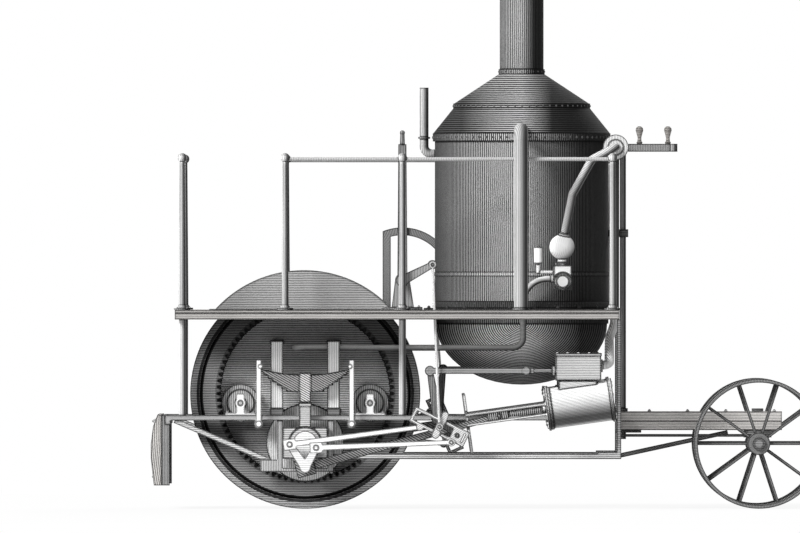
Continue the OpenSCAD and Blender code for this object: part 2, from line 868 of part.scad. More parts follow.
// Round water tank in the drum, with tunnels for shafts and bars
module water_tank() {
    play = 16;
    bar_x = [tank_post_x - tank_post_l / 2 - seat, tank_post_x + tank_post_l / 2 + seat];
    color(dark_iron) place() slab([-tank_half_w, tank_half_w]) difference() {
        disc([0, 0], tank_r);
        disc(crank_at, shaft_r + play);
        for (s = [-1, 1]) {
            disc([s * roller_x, -roller_drop], roller_shaft_r + play);
            x = s > 0 ? bar_x : -[bar_x[1], bar_x[0]];
            plate(x, [head_z[0] - seat, head_z[1] + seat]);
            plate(x, [-bar_drop - seat, beam_top + seat]);
        }
    }
}

// Timber frame of the platform, open for the drum and the boiler
module platform_joists() {
    cross_x = [-deck_rear, -drum_slot_x - joist_w, drum_slot_x, boiler_x - boiler_hole_r - joist_w,
        deck_front - joist_w];
    edge_y = [deck_half - 50, deck_half];
    side_y = [drum_slot_y + 15, bar_out];
    color(pale_wood) place() translate([0, 0, joist_z[0]]) {
        both() for (y = [edge_y, side_y]) timber([-deck_rear, deck_front], -[y[1], y[0]]);
        for (x = cross_x) {
            timber([x, x + joist_w], [-1, 1] * (side_y[0] - seat));
            both() timber([x, x + joist_w], -[edge_y[0] - seat, side_y[1] + seat]);
        }
    }
}

// One timber of the platform's frame, cut by what passes through it
module timber(x, y) {
    linear_extrude(joist_h) difference() {
        plate(x, y);
        plate([-drum_slot_x, drum_slot_x], [-drum_slot_y, drum_slot_y]);
        disc([boiler_x, 0], boiler_hole_r);
        deck_holes();
    }
}

// Boards of the platform, laid along the engine
module platform_boards() {
    pitch = board_w + board_gap;
    rows = floor(deck_half / pitch);
    edge = deck_half - rows * pitch - board_gap / 2;
    along = [-deck_rear, deck_front];
    color(pale_wood) place() translate([0, 0, joist_z[1]]) linear_extrude(board_t) difference() {
        union() {
            for (i = [-rows:rows - 1])
                plate(along, [i * pitch + board_gap / 2, (i + 1) * pitch - board_gap / 2]);
            for (y = [-deck_half, deck_half - edge]) plate(along, [y, y + edge]);
        }
        plate([-board_slot_x, board_slot_x], [-drum_slot_y, drum_slot_y]);
        disc([boiler_x, 0], boiler_hole_r);
        deck_holes();
    }
}

// Holes in the platform for the pipes and the lifting rods
module deck_holes() {
    disc([feed_x, -feed_y], feed_r + 11);
    for (s = [-1, 1]) {
        disc([head_at[0], s * branch_y], steam_r + 10);
        translate([arm_pin[0] + 16, s * (rail_y - 15)]) square([90, 80], center = true);
    }
}

// Props between the side frames and the platform
module platform_props() {
    color(bright_iron) place() both() for (x = [rail_post_x[0], rail_post_x[2]])
        rod([x, -(bar_in + 35), bar_z[1]], [x, -(bar_in + 35), under_z], prop_d / 2, prop_d / 2);
}

// Rail posts with balls and feet, and the handrails between them
module handrails() {
    ball_z = rail_z + 11;
    color(bright_iron) place() both() {
        for (x = rail_post_x) translate([x, -rail_y, 0]) {
            translate([0, 0, deck_z]) cylinder(r = 65, h = 14);
            translate([0, 0, deck_z + 14]) cylinder(r1 = 44, r2 = rail_post_d / 2, h = 26);
            translate([0, 0, deck_z + 40])
                cylinder(r1 = rail_post_d / 2, r2 = 20, h = rail_z - deck_z - 40);
            translate([0, 0, ball_z]) sphere(r = ball_r);
        }
        rod([rail_post_x[1], -rail_y, rail_z], [rail_post_x[3], -rail_y, rail_z],
            rail_d / 2, rail_d / 2);
    }
}

// Sheet cover over the drum where it comes through the platform
module drum_cover() {
    middle = [cover_shift, cover_rise];
    above = [deck_z, deck_z + 1000];
    wide = [-1, 1] * (cover_span + cover_foot) + [cover_shift, cover_shift];
    color(mid_iron) place() {
        slab([-cover_half, cover_half]) {
            intersection() {
                difference() {
                    disc(middle, cover_r, $fn = 180);
                    disc(middle, cover_r - cover_t, $fn = 180);
                }
                plate([-1500, 1500], above);
            }
            plate([wide[0], wide[0] + cover_foot + cover_t], [deck_z, deck_z + cover_t]);
            plate([wide[1] - cover_foot - cover_t, wide[1]], [deck_z, deck_z + cover_t]);
        }
        both() slab(-[cover_half + cover_t, cover_half]) intersection() {
            disc(middle, cover_r, $fn = 180);
            plate([-1500, 1500], above);
        }
    }
}

// Boiler shell with its top angle ring and seam, open at the fire door
module boiler_shell() {
    color(boiler_black) place() difference() {
        union() {
            boiler_ring(boiler_r, boiler_r - boiler_plate, [shell_z, ring_z]);
            boiler_ring(cone_r + 3, boiler_r - boiler_plate, [ring_z, cone_z]);
            boiler_ring(boiler_r + bead_t, boiler_r - 1, [bead_z, bead_z + bead_h]);
        }
        at_fire_door() fire_block([-120, 120], 20, 20);
    }
}

// Points of the dished bottom, r wide and h deep
function bowl_curve(r, h) = [for (a = [0:6:90]) [r * sin(a), shell_z - h * cos(a)]];

// Dished bottom of the boiler
module boiler_bowl() {
    inner = bowl_curve(bowl_r - boiler_plate, bowl_h - boiler_plate);
    color(boiler_black) place() translate([boiler_x, 0, 0]) rotate_extrude() polygon(concat(
        bowl_curve(bowl_r, bowl_h), [for (i = [len(inner) - 1:-1:0]) inner[i]]
    ));
}

// Two cones over the boiler, with the band between them
module boiler_cone() {
    t = boiler_plate;
    color(boiler_black) place() translate([boiler_x, 0, 0]) rotate_extrude() polygon([
        [cone_r, cone_z], [cone_band_r + band_lip, band_z],
        [cone_band_r + band_lip, cone_top_z],
        [cone_band_r, cone_top_z], [chimney_r + 9, stack_z], [chimney_r - t, stack_z],
        [cone_band_r - 2 * t, cone_top_z - t], [cone_band_r - 2 * t, band_z],
        [cone_r - 2 * t, cone_z]
    ]);
}

// Chimney with a collar at its foot and a rim at its mouth
module chimney() {
    color(boiler_black) place() translate([boiler_x, 0, 0]) rotate_extrude() polygon([
        [chimney_r - chimney_t, stack_z], [chimney_r + 9, stack_z], [chimney_r + 9, stack_z + 40],
        [chimney_r, stack_z + 40], [chimney_r, stack_z + chimney_h - 70],
        [chimney_r + 14, stack_z + chimney_h - 60], [chimney_r + 24, stack_z + chimney_h - 30],
        [chimney_r + 14, stack_z + chimney_h], [chimney_r - chimney_t, stack_z + chimney_h]
    ]);
}

// Angle ring that seats the boiler on the platform
module boiler_seat() {
    color(dark_iron) place() {
        boiler_ring(boiler_r + seat_w, boiler_r + seat, [deck_z, deck_z + 14]);
        boiler_ring(boiler_r + 14, boiler_r + seat, [deck_z + 14, deck_z + 70]);
    }
}

// Frame of the fire door's place: X outwards from the boiler's axis, Z from its middle
module at_fire_door() {
    translate([boiler_x, 0, deck_z + fire_door_z]) rotate([0, 0, fire_door_az]) children();
}

// Block at the fire door, larger than the door by w and h
module fire_block(x, w, h) {
    box([boiler_r + x[0], boiler_r + x[1]], [-1, 1] * (fire_door_w / 2 - w),
        [-1, 1] * (fire_door_h / 2 - h));
}

fire_frame_x = 45;
fire_hinge = [boiler_r + fire_frame_x + 16, fire_door_w / 2 + 16];
fire_pin_r = 8;

// Mouthpiece round the fire door, with hinge lugs and catch
module fire_door_frame() {
    lug_h = 26;
    color(dark_iron) place() {
        difference() {
            at_fire_door() fire_block([-40, fire_frame_x], -34, -34);
            at_fire_door() fire_block([-60, fire_frame_x + 20], 20, 20);
            boiler_form(seat);
        }
        at_fire_door() difference() {
            for (s = [-1, 1]) translate([0, 0, s * 52]) {
                box([boiler_r + fire_frame_x, fire_hinge[0]], [fire_hinge[1] - 12, fire_hinge[1] + 12],
                    [-lug_h / 2, lug_h / 2]);
                translate([fire_hinge[0], fire_hinge[1], -lug_h / 2]) cylinder(r = 16, h = lug_h);
            }
            translate([fire_hinge[0], fire_hinge[1], -200]) cylinder(r = fire_pin_r + run, h = 400);
        }
    }
}

// Fire door with its hinge strap, pin and handle
module fire_door() {
    lug_gap = 52 - 13 - 1;
    x = [fire_frame_x + 1, fire_frame_x + 1 + fire_door_t];
    color(mid_iron) place() at_fire_door() {
        difference() {
            fire_block(x, 0, 0);
            for (s = [-1, 1]) translate([0, 0, s * 52])
                box([boiler_r, boiler_r + 100], [fire_hinge[1] - 34, fire_hinge[1] + 40], [-15, 15]);
        }
        box([boiler_r + x[0], boiler_r + x[1]], [fire_door_w / 2 - 10, fire_hinge[1]],
            [-lug_gap, lug_gap]);
        translate([fire_hinge[0], fire_hinge[1], -lug_gap]) cylinder(r = 14, h = 2 * lug_gap);
        translate([fire_hinge[0], fire_hinge[1], -78]) cylinder(r = fire_pin_r, h = 156);
        rod([boiler_r + x[1], -110, 0], [boiler_r + x[1] + 60, -110, 0], 9, 9);
        translate([boiler_r + x[1] + 60, -110, 0]) sphere(r = 18);
    }
}

// Steam headers, and the steam pipes down to the chests
module steam_pipes() {
    branch = [head_at[0], -branch_y, head_at[1] - header_r - 45];
    flange = 12;
    inlet = [chest_x + chest_l + seat, -cyl_y, chest_z + 115];
    color(bright_iron) place() both() {
        difference() {
            union() {
                across(head_at, header_r, -[780, 100]);
                rod([boiler_x, -200, head_at[1]], [head_at[0], -200, head_at[1]], 38, 38);
                across(head_at, 100, -[800, 780]);
                across(head_at, 60, -[812, 800]);
                rod([branch[0], branch[1], head_at[1]], branch, steam_r, steam_r);
                rod(branch + [0, 0, flange], branch, 52, 52);
            }
            boiler_form(seat);
        }
        pipe([
            branch - [0, 0, seat], [branch[0] - 2, branch[1] - 3, under_z - 36],
            [branch[0] - 43, branch[1] - 60, under_z - 150], [branch[0] - 43, inlet[1], inlet[2]],
            inlet + [flange / 2, 0, 0]
        ], steam_r, 60);
        rod(inlet, inlet + [flange, 0, 0], 50, 50);
    }
}

ball_at = [2008, -feed_y, 1147];
pump_ball_r = 98;
pump_bend = [2090, -840, 1560];
pump_inlet = [1918, 897];
feed_x = 1704;

// Curved steam pipe from the near header to the feed pump
module pump_steam_pipe() {
    color(bright_iron) place() pipe([
        [head_at[0], -812, head_at[1]], [head_at[0], -900, head_at[1]], [2240, -870, 1830], pump_bend,
        ball_at + unit(pump_bend - ball_at) * (pump_ball_r + 12 + seat)
    ], steam_r + 3, 70);
}

// Steam feed pump: ball valve, body, round cover and oil cup
module feed_pump() {
    x = 2013;
    cup_x = 1821;
    color(bright_iron) place() difference() {
        union() {
            translate(ball_at) sphere(r = pump_ball_r);
            rod(ball_at, ball_at + unit(pump_bend - ball_at) * (pump_ball_r + 12), 44, 44);
            rod([2008, -feed_y, 1000], [2008, -feed_y, 1100], 34, 34);
            rod([2008, -feed_y, 1004], [2008, -feed_y, 1024], 52, 52);
            box([x - 70, x + 70], [-feed_y - 60, -feed_y + 60], [811, 1004]);
            across([x, 877], 70, [-feed_y - 90, -feed_y - 60]);
            across([x, 877], 50, [-feed_y - 100, -feed_y - 90]);
            box([x - 50, x + 50], [-feed_y + 60, -560], [830, 980]);
            rod([cup_x, -feed_y, 950], [x, -feed_y, 950], 12, 12);
            rod([cup_x, -feed_y, 936], [cup_x, -feed_y, 1018], 15, 15);
            rod([cup_x, -feed_y, 1017], [cup_x, -feed_y, 1148], 31, 31);
            rod([cup_x, -feed_y, 1147], [cup_x, -feed_y, 1157], 20, 12);
            rod([1950, -feed_y, pump_inlet[1]], [pump_inlet[0], -feed_y, pump_inlet[1]],
                feed_r + 6, feed_r + 6);
        }
        boiler_form(seat);
    }
}

// Feed pipe from the tank, up through the platform to the pump
module feed_pipe() {
    from_x = -78;
    run_z = 359;
    color(pale_iron) place() pipe([
        [from_x, -tank_half_w, run_z], [from_x, -feed_y, run_z], [feed_x, -feed_y, run_z],
        [feed_x, -feed_y, pump_inlet[1]], [pump_inlet[0], -feed_y, pump_inlet[1]]
    ], feed_r, 80, 190);
}

// Exhaust standpipes, from the platform to the boiler's cone
module exhaust_pipes() {
    top = 2061;
    color(pale_iron) place() both() {
        difference() {
            pipe([
                [exhaust_x, -exhaust_y, deck_z], [exhaust_x, -exhaust_y, top],
                [exhaust_x, -560, top]
            ], exhaust_r, 80);
            boiler_form(seat);
        }
        translate([exhaust_x, -exhaust_y, deck_z]) cylinder(r = exhaust_r + 10, h = 16);
    }
}

// Relief pipe behind the boiler
module relief_pipe() {
    x = boiler_x - boiler_r - 84;
    color(bright_iron) place() {
        difference() {
            pipe([[x, 0, 2399], [x, 0, 1880], [1100, 0, 1880]], relief_r, 60);
            boiler_form(seat);
        }
        translate([x, 0, 1998]) cylinder(r = relief_r + 12, h = 14);
    }
}

// Cylinders with their covers, saddles and brackets to the side frames
module cylinders() {
    saddle_x = [chest_x + 24, chest_x + chest_l - 34];
    color(bright_iron) place() both() {
        on_slope() translate([cyl_rear, 0, 0]) rotate([0, 90, 0]) rotate_extrude() polygon([
            [0, -34], [gland_r, -34], [gland_r, 0], [flange_r - 14, 0], [flange_r, 4], [flange_r, 20],
            [flange_r - 6, 23], [flange_r - 6, 42], [cyl_r, 46], [cyl_r, cyl_l - 28],
            [flange_r - 4, cyl_l - 26], [flange_r, cyl_l - 20], [flange_r, cyl_l], [0, cyl_l]
        ]);
        intersection() {
            box(saddle_x, -[cyl_y + 80, cyl_y - 80], [crank_z + 300, chest_z]);
            box([0, 3000], [-2000, 0], [chest_z - 160, chest_z]);
        }
        difference() {
            box([chest_x + 10, chest_x + chest_l - 10], -[cyl_y - 40, bar_out], [bar_z[0], 60]);
            box([chest_x + 80, chest_x + chest_l - 80], -[cyl_y, bar_out - 1],
                [bar_z[0] - 1, bar_z[0] + 30]);
        }
    }
}

// Steam chests with their lids
module steam_chests() {
    lid_t = 24;
    y = -[cyl_y + 90, cyl_y - 90];
    color(bright_iron) place() both() {
        box([chest_x, chest_x + chest_l], y, [chest_z, chest_z + chest_h - lid_t]);
        box([chest_x - 4, chest_x + chest_l + 4], y + [-4, 4],
            [chest_z + chest_h - lid_t, chest_z + chest_h]);
        rod([chest_x - 30, -(valve_y[0] + valve_y[1]) / 2, valve_rod_z],
            [chest_x, -(valve_y[0] + valve_y[1]) / 2, valve_rod_z], 34, 34);
    }
}

// Slide bars above and below the crossheads, with the yoke at their rear ends
module slide_bars() {
    bar_gap = [rod_half + 3, rod_half + 18];
    color(bright_iron) place() both() {
        on_slope() {
            for (s = [-1, 1], y = [bar_gap, -[bar_gap[1], bar_gap[0]]])
                box([guide_rear, cyl_rear], y,
                    s > 0 ? [guide_h / 2 - guide_t, guide_h / 2] : -[guide_h / 2, guide_h / 2 - guide_t]);
        }
        difference() {
            on_slope() difference() {
                box([guide_rear, guide_rear + 23], [-32, cyl_y - bar_out], [-262, 202]);
                box([guide_rear - 1, guide_rear + 24], [-18 - rod_half, 18 + rod_half],
                    [-guide_h / 2 - 20, guide_h / 2 + 20] );
            }
            box([0, 3000], [-2000, 0], [-1000, truss_z[1]]);
        }
    }
}

// Crossheads between the slide bars, with the piston rods
module crossheads() {
    color(bright_iron) place() near_and_far() on_slope() translate([head_along($side), 0, 0]) {
        in_h = guide_h / 2 - guide_t - seat;
        difference() {
            union() {
                box([-92, 70], [-32, 32], [-in_h, in_h]);
                translate([0, 32, 0]) rotate([90, 0, 0]) cylinder(r = 26, h = 64);
            }
            box([-93, 42], [-rod_half - 2, rod_half + 2], [-in_h - 5, in_h + 5]);
        }
        rod([69, 0, 0], [cyl_rear - head_along($side) - 34, 0, 0], piston_rod_r, piston_rod_r);
        translate([0, 40, 0]) rotate([90, 0, 0]) cylinder(r = 16, h = 80);
    }
}

// Connecting rods, with block ends on the crank pins
module connecting_rods() {
    color(bright_iron) place() near_and_far() {
        a = crank_pin($side);
        b = head_at($side);
        u = unit(b - a);
        difference() {
            union() {
                slab(-[cyl_y + rod_half, cyl_y - rod_half]) {
                    strip(a + u * 60, b, [70, 52]);
                    disc(b, 29);
                }
                slab(-[cyl_y + 30, cyl_y - 30]) strip(a - u * box_end, a + u * box_end, [140, 140]);
            }
            across(a, crank_pin_r + seat, -[cyl_y + 60, cyl_y - 60]);
            across(b, 16 + seat, -[cyl_y + 60, cyl_y - 60]);
        }
    }
}

// Crankshaft with collars, crank webs, pins and return cranks
module crankshaft() {
    color(mid_iron) place() {
        across(crank_at, shaft_r, [-web[1], web[1]]);
        near_and_far() {
            pin = crank_pin($side);
            pins = [for (p = return_pins) on_crank($side, p)];
            across(crank_at, shaft_r + 22, -[ring_in - 40 - 2, ring_in - 60]);
            across(crank_at, shaft_r + 22, -[bar_in - 2, bar_in - 22]);
            slab(-[web[1], web[0]]) {
                strip(crank_at, pin, [2 * web_r[0], 2 * web_r[1]]);
                disc(crank_at, web_r[0]);
                disc(pin, web_r[1]);
            }
            across(pin, crank_pin_r, -[return_y[1], web[0]]);
            slab(-[return_y[1], return_y[0]]) for (p = pins) {
                strip(pin, p, [76, 60]);
                disc(p, 34);
                disc(pin, 44);
            }
            for (i = [0, 1]) across(pins[i], return_pin_r,
                -[(i == 0 ? rod_a_y : rod_b_y)[1] + 6, return_y[0]]);
        }
    }
}

// Rods from the return cranks to the links
module eccentric_rods() {
    color(bright_iron) place() near_and_far() for (i = [0, 1]) {
        a = on_crank($side, return_pins[i]);
        b = on_link($side, link_eyes[i]);
        u = unit(b - a);
        y = i == 0 ? rod_a_y : rod_b_y;
        slab(-[y[1], y[0]]) difference() {
            union() {
                strip(a - u * 50, a + u * 50, [86, 86]);
                strip(a, b, [46, 36]);
                disc(b, 32);
            }
            disc(a, return_pin_r + seat);
            disc(b, link_pin_r + seat);
        }
    }
}

// Slotted expansion links with their pins, die blocks and saddles
module expansion_links() {
    half = link_h / 2;
    slot_h = half - link_wall;
    color(pale_iron) place() near_and_far() {
        slab(-[link_y[1], link_y[0]]) difference() {
            link_outline() plate([-link_half, link_half], [-half, half]);
            link_outline() plate([-link_half + link_wall, link_half - link_wall], [-slot_h, slot_h]);
        }
        slab(-[link_y[1], link_y[0]]) difference() {
            link_outline()
                plate([die_along($side) - 48, die_along($side) + 48], [-1, 1] * (slot_h - seat));
            disc(die_at($side), die_pin_r + seat);
        }
        for (i = [0, 1]) {
            eye = on_link($side, link_eyes[i]);
            across(eye, link_pin_r, i == 0 ? -[link_y[1], rod_a_y[0] - 3] : -[rod_b_y[1] + 4, link_y[0]]);
            slab(-[link_y[1], link_y[0]]) disc(eye, link_eye_r - 8);
        }
        slab(-[saddle_y[1], link_y[1] - 1]) {
            strip(on_link($side, [0, 100]), on_link($side, [0, -70]), [60, 60]);
            disc(on_link($side, [0, 100]), 30);
            disc(on_link($side, [0, -70]), 30);
        }
        across(link_mid[$side], saddle_pin_r, -[lift_eye_y[1] + 6, saddle_y[0]]);
    }
}

// Outline drawn along and square to the slot, moved to its place
module link_outline() {
    translate(link_mid[$side]) rotate(-link_tilt[$side]) children();
}

// Rockers from the die blocks to the valve rods
module rockers() {
    color(dark_iron) place() near_and_far() {
        top = rocker_top($side);
        low = die_at($side);
        slab(-[rocker_y[1], rocker_y[0]]) difference() {
            union() {
                strip(rocker_hub, top, [86, 48]);
                strip(rocker_hub, low, [80, 56]);
                disc(rocker_hub, 52);
                disc(top, 34);
                disc(low, 30);
            }
            disc(top, 14 + seat);
        }
        across(rocker_hub, 24, -[rocker_y[0], bar_out]);
        across(low, die_pin_r, -[link_y[1] + 6, rocker_y[1]]);
    }
}

// Valve rods from the rockers to the steam chests
module valve_rods() {
    shift = rocker_top(1)[0] - rocker_top(0)[0];
    h = valve_rod_h;
    color(pale_iron) place() near_and_far() {
        top = rocker_top($side);
        joint = [valve_pin_x + $side * shift, valve_rod_z];
        slab(-[valve_y[1] + 6, valve_y[1] - 1]) {
            strip(top, joint, [h, h]);
            disc(top, 40);
            disc(joint, 34);
        }
        across(top, 14, -[valve_y[1] + 6, rocker_y[0] - 4]);
        slab(-[valve_y[1] - 1, valve_y[0]]) {
            disc(joint, 34);
            plate([joint[0], joint[0] + 60], [valve_rod_z - h / 2, valve_rod_z + h / 2]);
        }
        rod([joint[0] + 50, -(valve_y[0] + valve_y[1]) / 2, valve_rod_z],
            [chest_x - 30 - seat, -(valve_y[0] + valve_y[1]) / 2, valve_rod_z], 12, 12);
    }
}

// Reversing shaft with its stands and lifting arms
module reversing_shaft() {
    at = [rev_x, deck_z + rev_h];
    color(mid_iron) place() {
        across(at, rev_shaft_r, [-arm_y[1], arm_y[1]]);
        both() {
            slab(-[arm_y[1], arm_y[0]]) {
                strip(at, arm_pin, [80, 50]);
                disc(at, rev_hub_r - 8);
                disc(arm_pin, 36);
            }
            across(arm_pin, arm_pin_r, -[arm_y[1] + 30, arm_y[0]]);
            slab(-[rail_y - 140, rail_y - 200]) difference() {
                union() {
                    polygon([
                        [rev_x - 84, deck_z + 20], [rev_x + 90, deck_z + 20],
                        [rev_x + rev_hub_r, at[1]], [rev_x - rev_hub_r, at[1]]
                    ]);
                    disc(at, rev_hub_r);
                }
                disc(at, rev_shaft_r + seat);
            }
            box([rev_x - 156, rev_x + 157], -[rail_y - 120, rail_y - 220], [deck_z, deck_z + 20]);
        }
    }
}

// Hand lever on the far end of the reversing shaft
module reversing_lever() {
    at = [rev_x, deck_z + rev_h];
    color(mid_iron) place() {
        slab([880, 900]) difference() {
            union() {
                strip(at, at + [0, lever_l], [lever_w, lever_w - 16]);
                disc(at, rev_hub_r);
            }
            disc(at, rev_shaft_r + seat);
        }
        rod([rev_x, 890, at[1] + lever_l - 1], [rev_x, 890, at[1] + lever_l + 90], 20, 17);
        translate([rev_x, 890, at[1] + lever_l + 90]) sphere(r = 20);
    }
}

// Notched quadrant beside the lever, on its two legs
module reversing_quadrant() {
    at = [rev_x, deck_z + rev_h];
    inner = quadrant_r - quadrant_band;
    legs = [[-156, -92], [310, 373]];
    color(pale_iron) place() slab([902, 916]) {
        intersection() {
            difference() {
                disc(at, quadrant_r);
                disc(at, inner);
            }
            plate([rev_x + legs[0][0], rev_x + legs[1][1]], [at[1] + 60, at[1] + 500]);
        }
        for (x = legs) {
            reach = max(abs(x[0]), abs(x[1]));
            plate([rev_x, rev_x] + x, [deck_z, at[1] + sqrt(pow(quadrant_r - 4, 2) - reach * reach)]);
        }
    }
}

// Rods from the reversing arms down to the links' saddles
module lifting_rods() {
    top_y = [arm_y[1] + 2, arm_y[1] + 24];
    color(bright_iron) place() near_and_far() {
        a = [arm_pin[0], -(top_y[0] + top_y[1]) / 2, arm_pin[1]];
        b = [link_mid[$side][0], -(lift_eye_y[0] + lift_eye_y[1]) / 2, link_mid[$side][1]];
        difference() {
            union() {
                rod(a, b, 10, 10);
                across(arm_pin, 30, -[top_y[1], top_y[0]]);
                across(link_mid[$side], 30, -[lift_eye_y[1], lift_eye_y[0]]);
            }
            across(arm_pin, arm_pin_r + seat, -[top_y[1] + 1, top_y[0] - 9]);
            across(link_mid[$side], saddle_pin_r + seat, -[lift_eye_y[1] + 1, lift_eye_y[0] - 1]);
        }
    }
}

// Timber across the rear, with holes for a drawbar
module rear_timber() {
    back = -bar_rear - rear_plate_t;
    top = -bar_drop + 5;
    color(pale_wood) place() difference() {
        slab([-timber_half, timber_half]) polygon([
            [back, top], [back - timber_t + 52, top], [back - timber_t + 18, top - 90],
            [back - timber_t, top - 230], [back - timber_t, top - 340],
            [back - timber_t + 24, top - timber_h], [back, top - timber_h]
        ]);
        draw_holes();
    }
}

// Four holes through the rear timber and its plate
module draw_holes() {
    for (y = [-150, 150], z = [-60, 60])
        translate([-rear_x - 10, y, -440 + z]) rotate([0, 90, 0])
            cylinder(r = draw_hole_r, h = timber_t + rear_plate_t + 60);
}

// Plate behind the rear timber, and its angles
module rear_angles() {
    top = -bar_drop;
    low = -bar_drop + 5 - timber_h;
    color(mid_iron) place() {
        difference() {
            box([-bar_rear - rear_plate_t, -bar_rear], [-timber_half, timber_half], [low, top]);
            draw_holes();
        }
        both() box([-bar_rear, -bar_rear + 36], -[bar_out, bar_in], [low, bar_z[0] - 30]);
    }
}

// Perch of two timbers that carries the fore-truck
module perch() {
    x = [post_x, truck_x + perch_nose];
    color(pale_wood) place() difference() {
        for (t = [[0, [perch_z, perch_z + perch_low_h]], [4, [perch_z + perch_low_h, perch_top]]])
            box(x, [-1, 1] * (perch_half - t[0]), t[1]);
        translate([column_x, 0, perch_z - 1]) cylinder(r = column_d / 2 + run, h = 200);
        translate([truck_x, 0, perch_z - 1]) cylinder(r = king_r + run, h = 200);
        translate([x[1] - 60, 0, perch_z - 1]) cylinder(r = 20, h = 200);
    }
}

// Stay below the perch, its bracket and the upper turntable plate
module perch_stay() {
    low = [post_x + post_l, truss_z[0] + truss_h / 2];
    high = [3315, perch_z - 17];
    color(mid_iron) place() {
        slab([-36, 36]) difference() {
            strip(low - (high - low) * 0.05, high, [35, 35]);
            plate([0, low[0]], [-1000, 0]);
            plate([0, 5000], [perch_z, 0]);
        }
        difference() {
            box([post_x + 23, 2635], [-perch_half, perch_half], [perch_z - 20, perch_z]);
            translate([column_x, 0, perch_z - 21]) cylinder(r = column_d / 2 + run, h = 22);
        }
    }
}

// Bracket from the boiler that holds the steering column upright
module column_bracket() {
    z = 1225;
    color(dark_iron) place() difference() {
        union() {
            translate([column_x, 0, z]) cylinder(r = column_d / 2 + 18, h = 62);
            box([boiler_x + boiler_r - 20, column_x], [-30, 30], [z + 6, z + 56]);
        }
        boiler_form(seat);
        translate([column_x, 0, z - 1]) cylinder(r = column_d / 2 + run, h = 64);
    }
}

// Steering column with its crank arm above and its yoke below the perch
module steering_column() {
    arm_z = deck_z + crank_arm_z;
    color(bright_iron) place() {
        translate([column_x, 0, yoke_arm_z[0]]) cylinder(d = column_d, h = arm_z - yoke_arm_z[0]);
        translate([column_x, 0, perch_top + 1]) cylinder(r = column_d / 2 + 14, h = 24);
        translate([column_x, 0, arm_z]) {
            cylinder(r = 42, h = crank_arm_t);
            box([0, crank_arm_l - 30], [-16, 16], [0, crank_arm_t]);
            translate([crank_arm_l - 31, 0, 0]) cylinder(r = 31, h = crank_arm_t);
        }
        yoke([column_x, 0]);
    }
}

// Arms of a yoke with upright pins for the steering rods
module yoke(at) {
    translate([at[0], at[1], 0]) {
        box([-18, 18], [-yoke_half, yoke_half], yoke_arm_z);
        for (s = [-1, 1]) translate([0, s * yoke_half, yoke_arm_z[0]]) {
            cylinder(r = 22, h = yoke_arm_z[1] - yoke_arm_z[0]);
            cylinder(r = yoke_pin_r, h = steer_rod_z[1] - yoke_arm_z[0] + 6);
        }
    }
}

// Turned wooden grips on the crank arm
module steering_grips() {
    z = deck_z + crank_arm_z + crank_arm_t;
    color(pale_wood) place() for (x = [130, 353]) translate([column_x + x, 0, z])
        rotate_extrude() polygon([
            [0, 0], [20, 0], [24, 10], [16, 22], [15, 50], [24, 84], [30, 106], [27, 124],
            [14, 136], [0, 138]
        ]);
}

// One steering rod between the yokes, on the given side
module steering_rod(s) {
    y = s * yoke_half;
    color(mid_iron) place() difference() {
        union() {
            box([column_x, truck_x], [y - steer_rod_w / 2, y + steer_rod_w / 2], steer_rod_z);
            for (x = [column_x, truck_x]) translate([x, y, steer_rod_z[0]])
                cylinder(r = steer_rod_w / 2 + 4, h = steer_rod_z[1] - steer_rod_z[0]);
        }
        for (x = [column_x, truck_x]) translate([x, y, steer_rod_z[0] - 1])
            cylinder(r = yoke_pin_r + run, h = 30);
    }
}
module steering_rod_left() {
    steering_rod(1);
}
module steering_rod_right() {
    steering_rod(-1);
}

// Front axle with its king pin, turntable and yoke
module fore_axle() {
    inner = wheel_y - wheel_w / 2;
    outer = wheel_y + wheel_w / 2;
    color(mid_iron) place() translate([truck_x, 0, 0]) {
        box([-axle_h / 2, axle_h / 2], [-inner + 12, inner - 12], [axle_z - axle_h / 2, axle_top]);
        translate([0, 0, axle_top - 1]) cylinder(r = turn_r, h = perch_z - seat - axle_top + 1);
        translate([0, 0, axle_top]) cylinder(r = king_r, h = perch_top + 20 - axle_top);
        translate([0, 0, perch_top + 1]) cylinder(r = king_r + 18, h = 22);
        both() {
            across([0, axle_z], spindle_r, -[outer + 24, inner - 13]);
            across([0, axle_z], spindle_r + 16, -[inner - 1, inner - 13]);
            across([0, axle_z], spindle_r + 16, -[outer + 20, outer + 1]);
        }
        yoke([0, 0]);
    }
}

// Spoked front wheel on the given side
module front_wheel(s) {
    hub_r = 88;
    face = [wheel_y - wheel_w / 2, wheel_y + wheel_w / 2];
    at = [truck_x, axle_z];
    y = s > 0 ? face : -[face[1], face[0]];
    color(mid_iron) place() difference() {
        union() {
            difference() {
                across(at, wheel_r, y);
                across(at, wheel_r - wheel_rim, y + [-1, 1]);
            }
            across(at, hub_r, y);
            for (i = [0:wheel_spokes - 1])
                translate([truck_x, s * wheel_y, axle_z]) rotate([0, i * 360 / wheel_spokes, 0])
                    translate([hub_r - 20, -36, -11]) cube([wheel_r - wheel_rim - hub_r + 30, 72, 22]);
        }
        across(at, spindle_r + run, y + [-1, 1]);
    }
}
module front_wheel_left() {
    front_wheel(1);
}
module front_wheel_right() {
    front_wheel(-1);
}

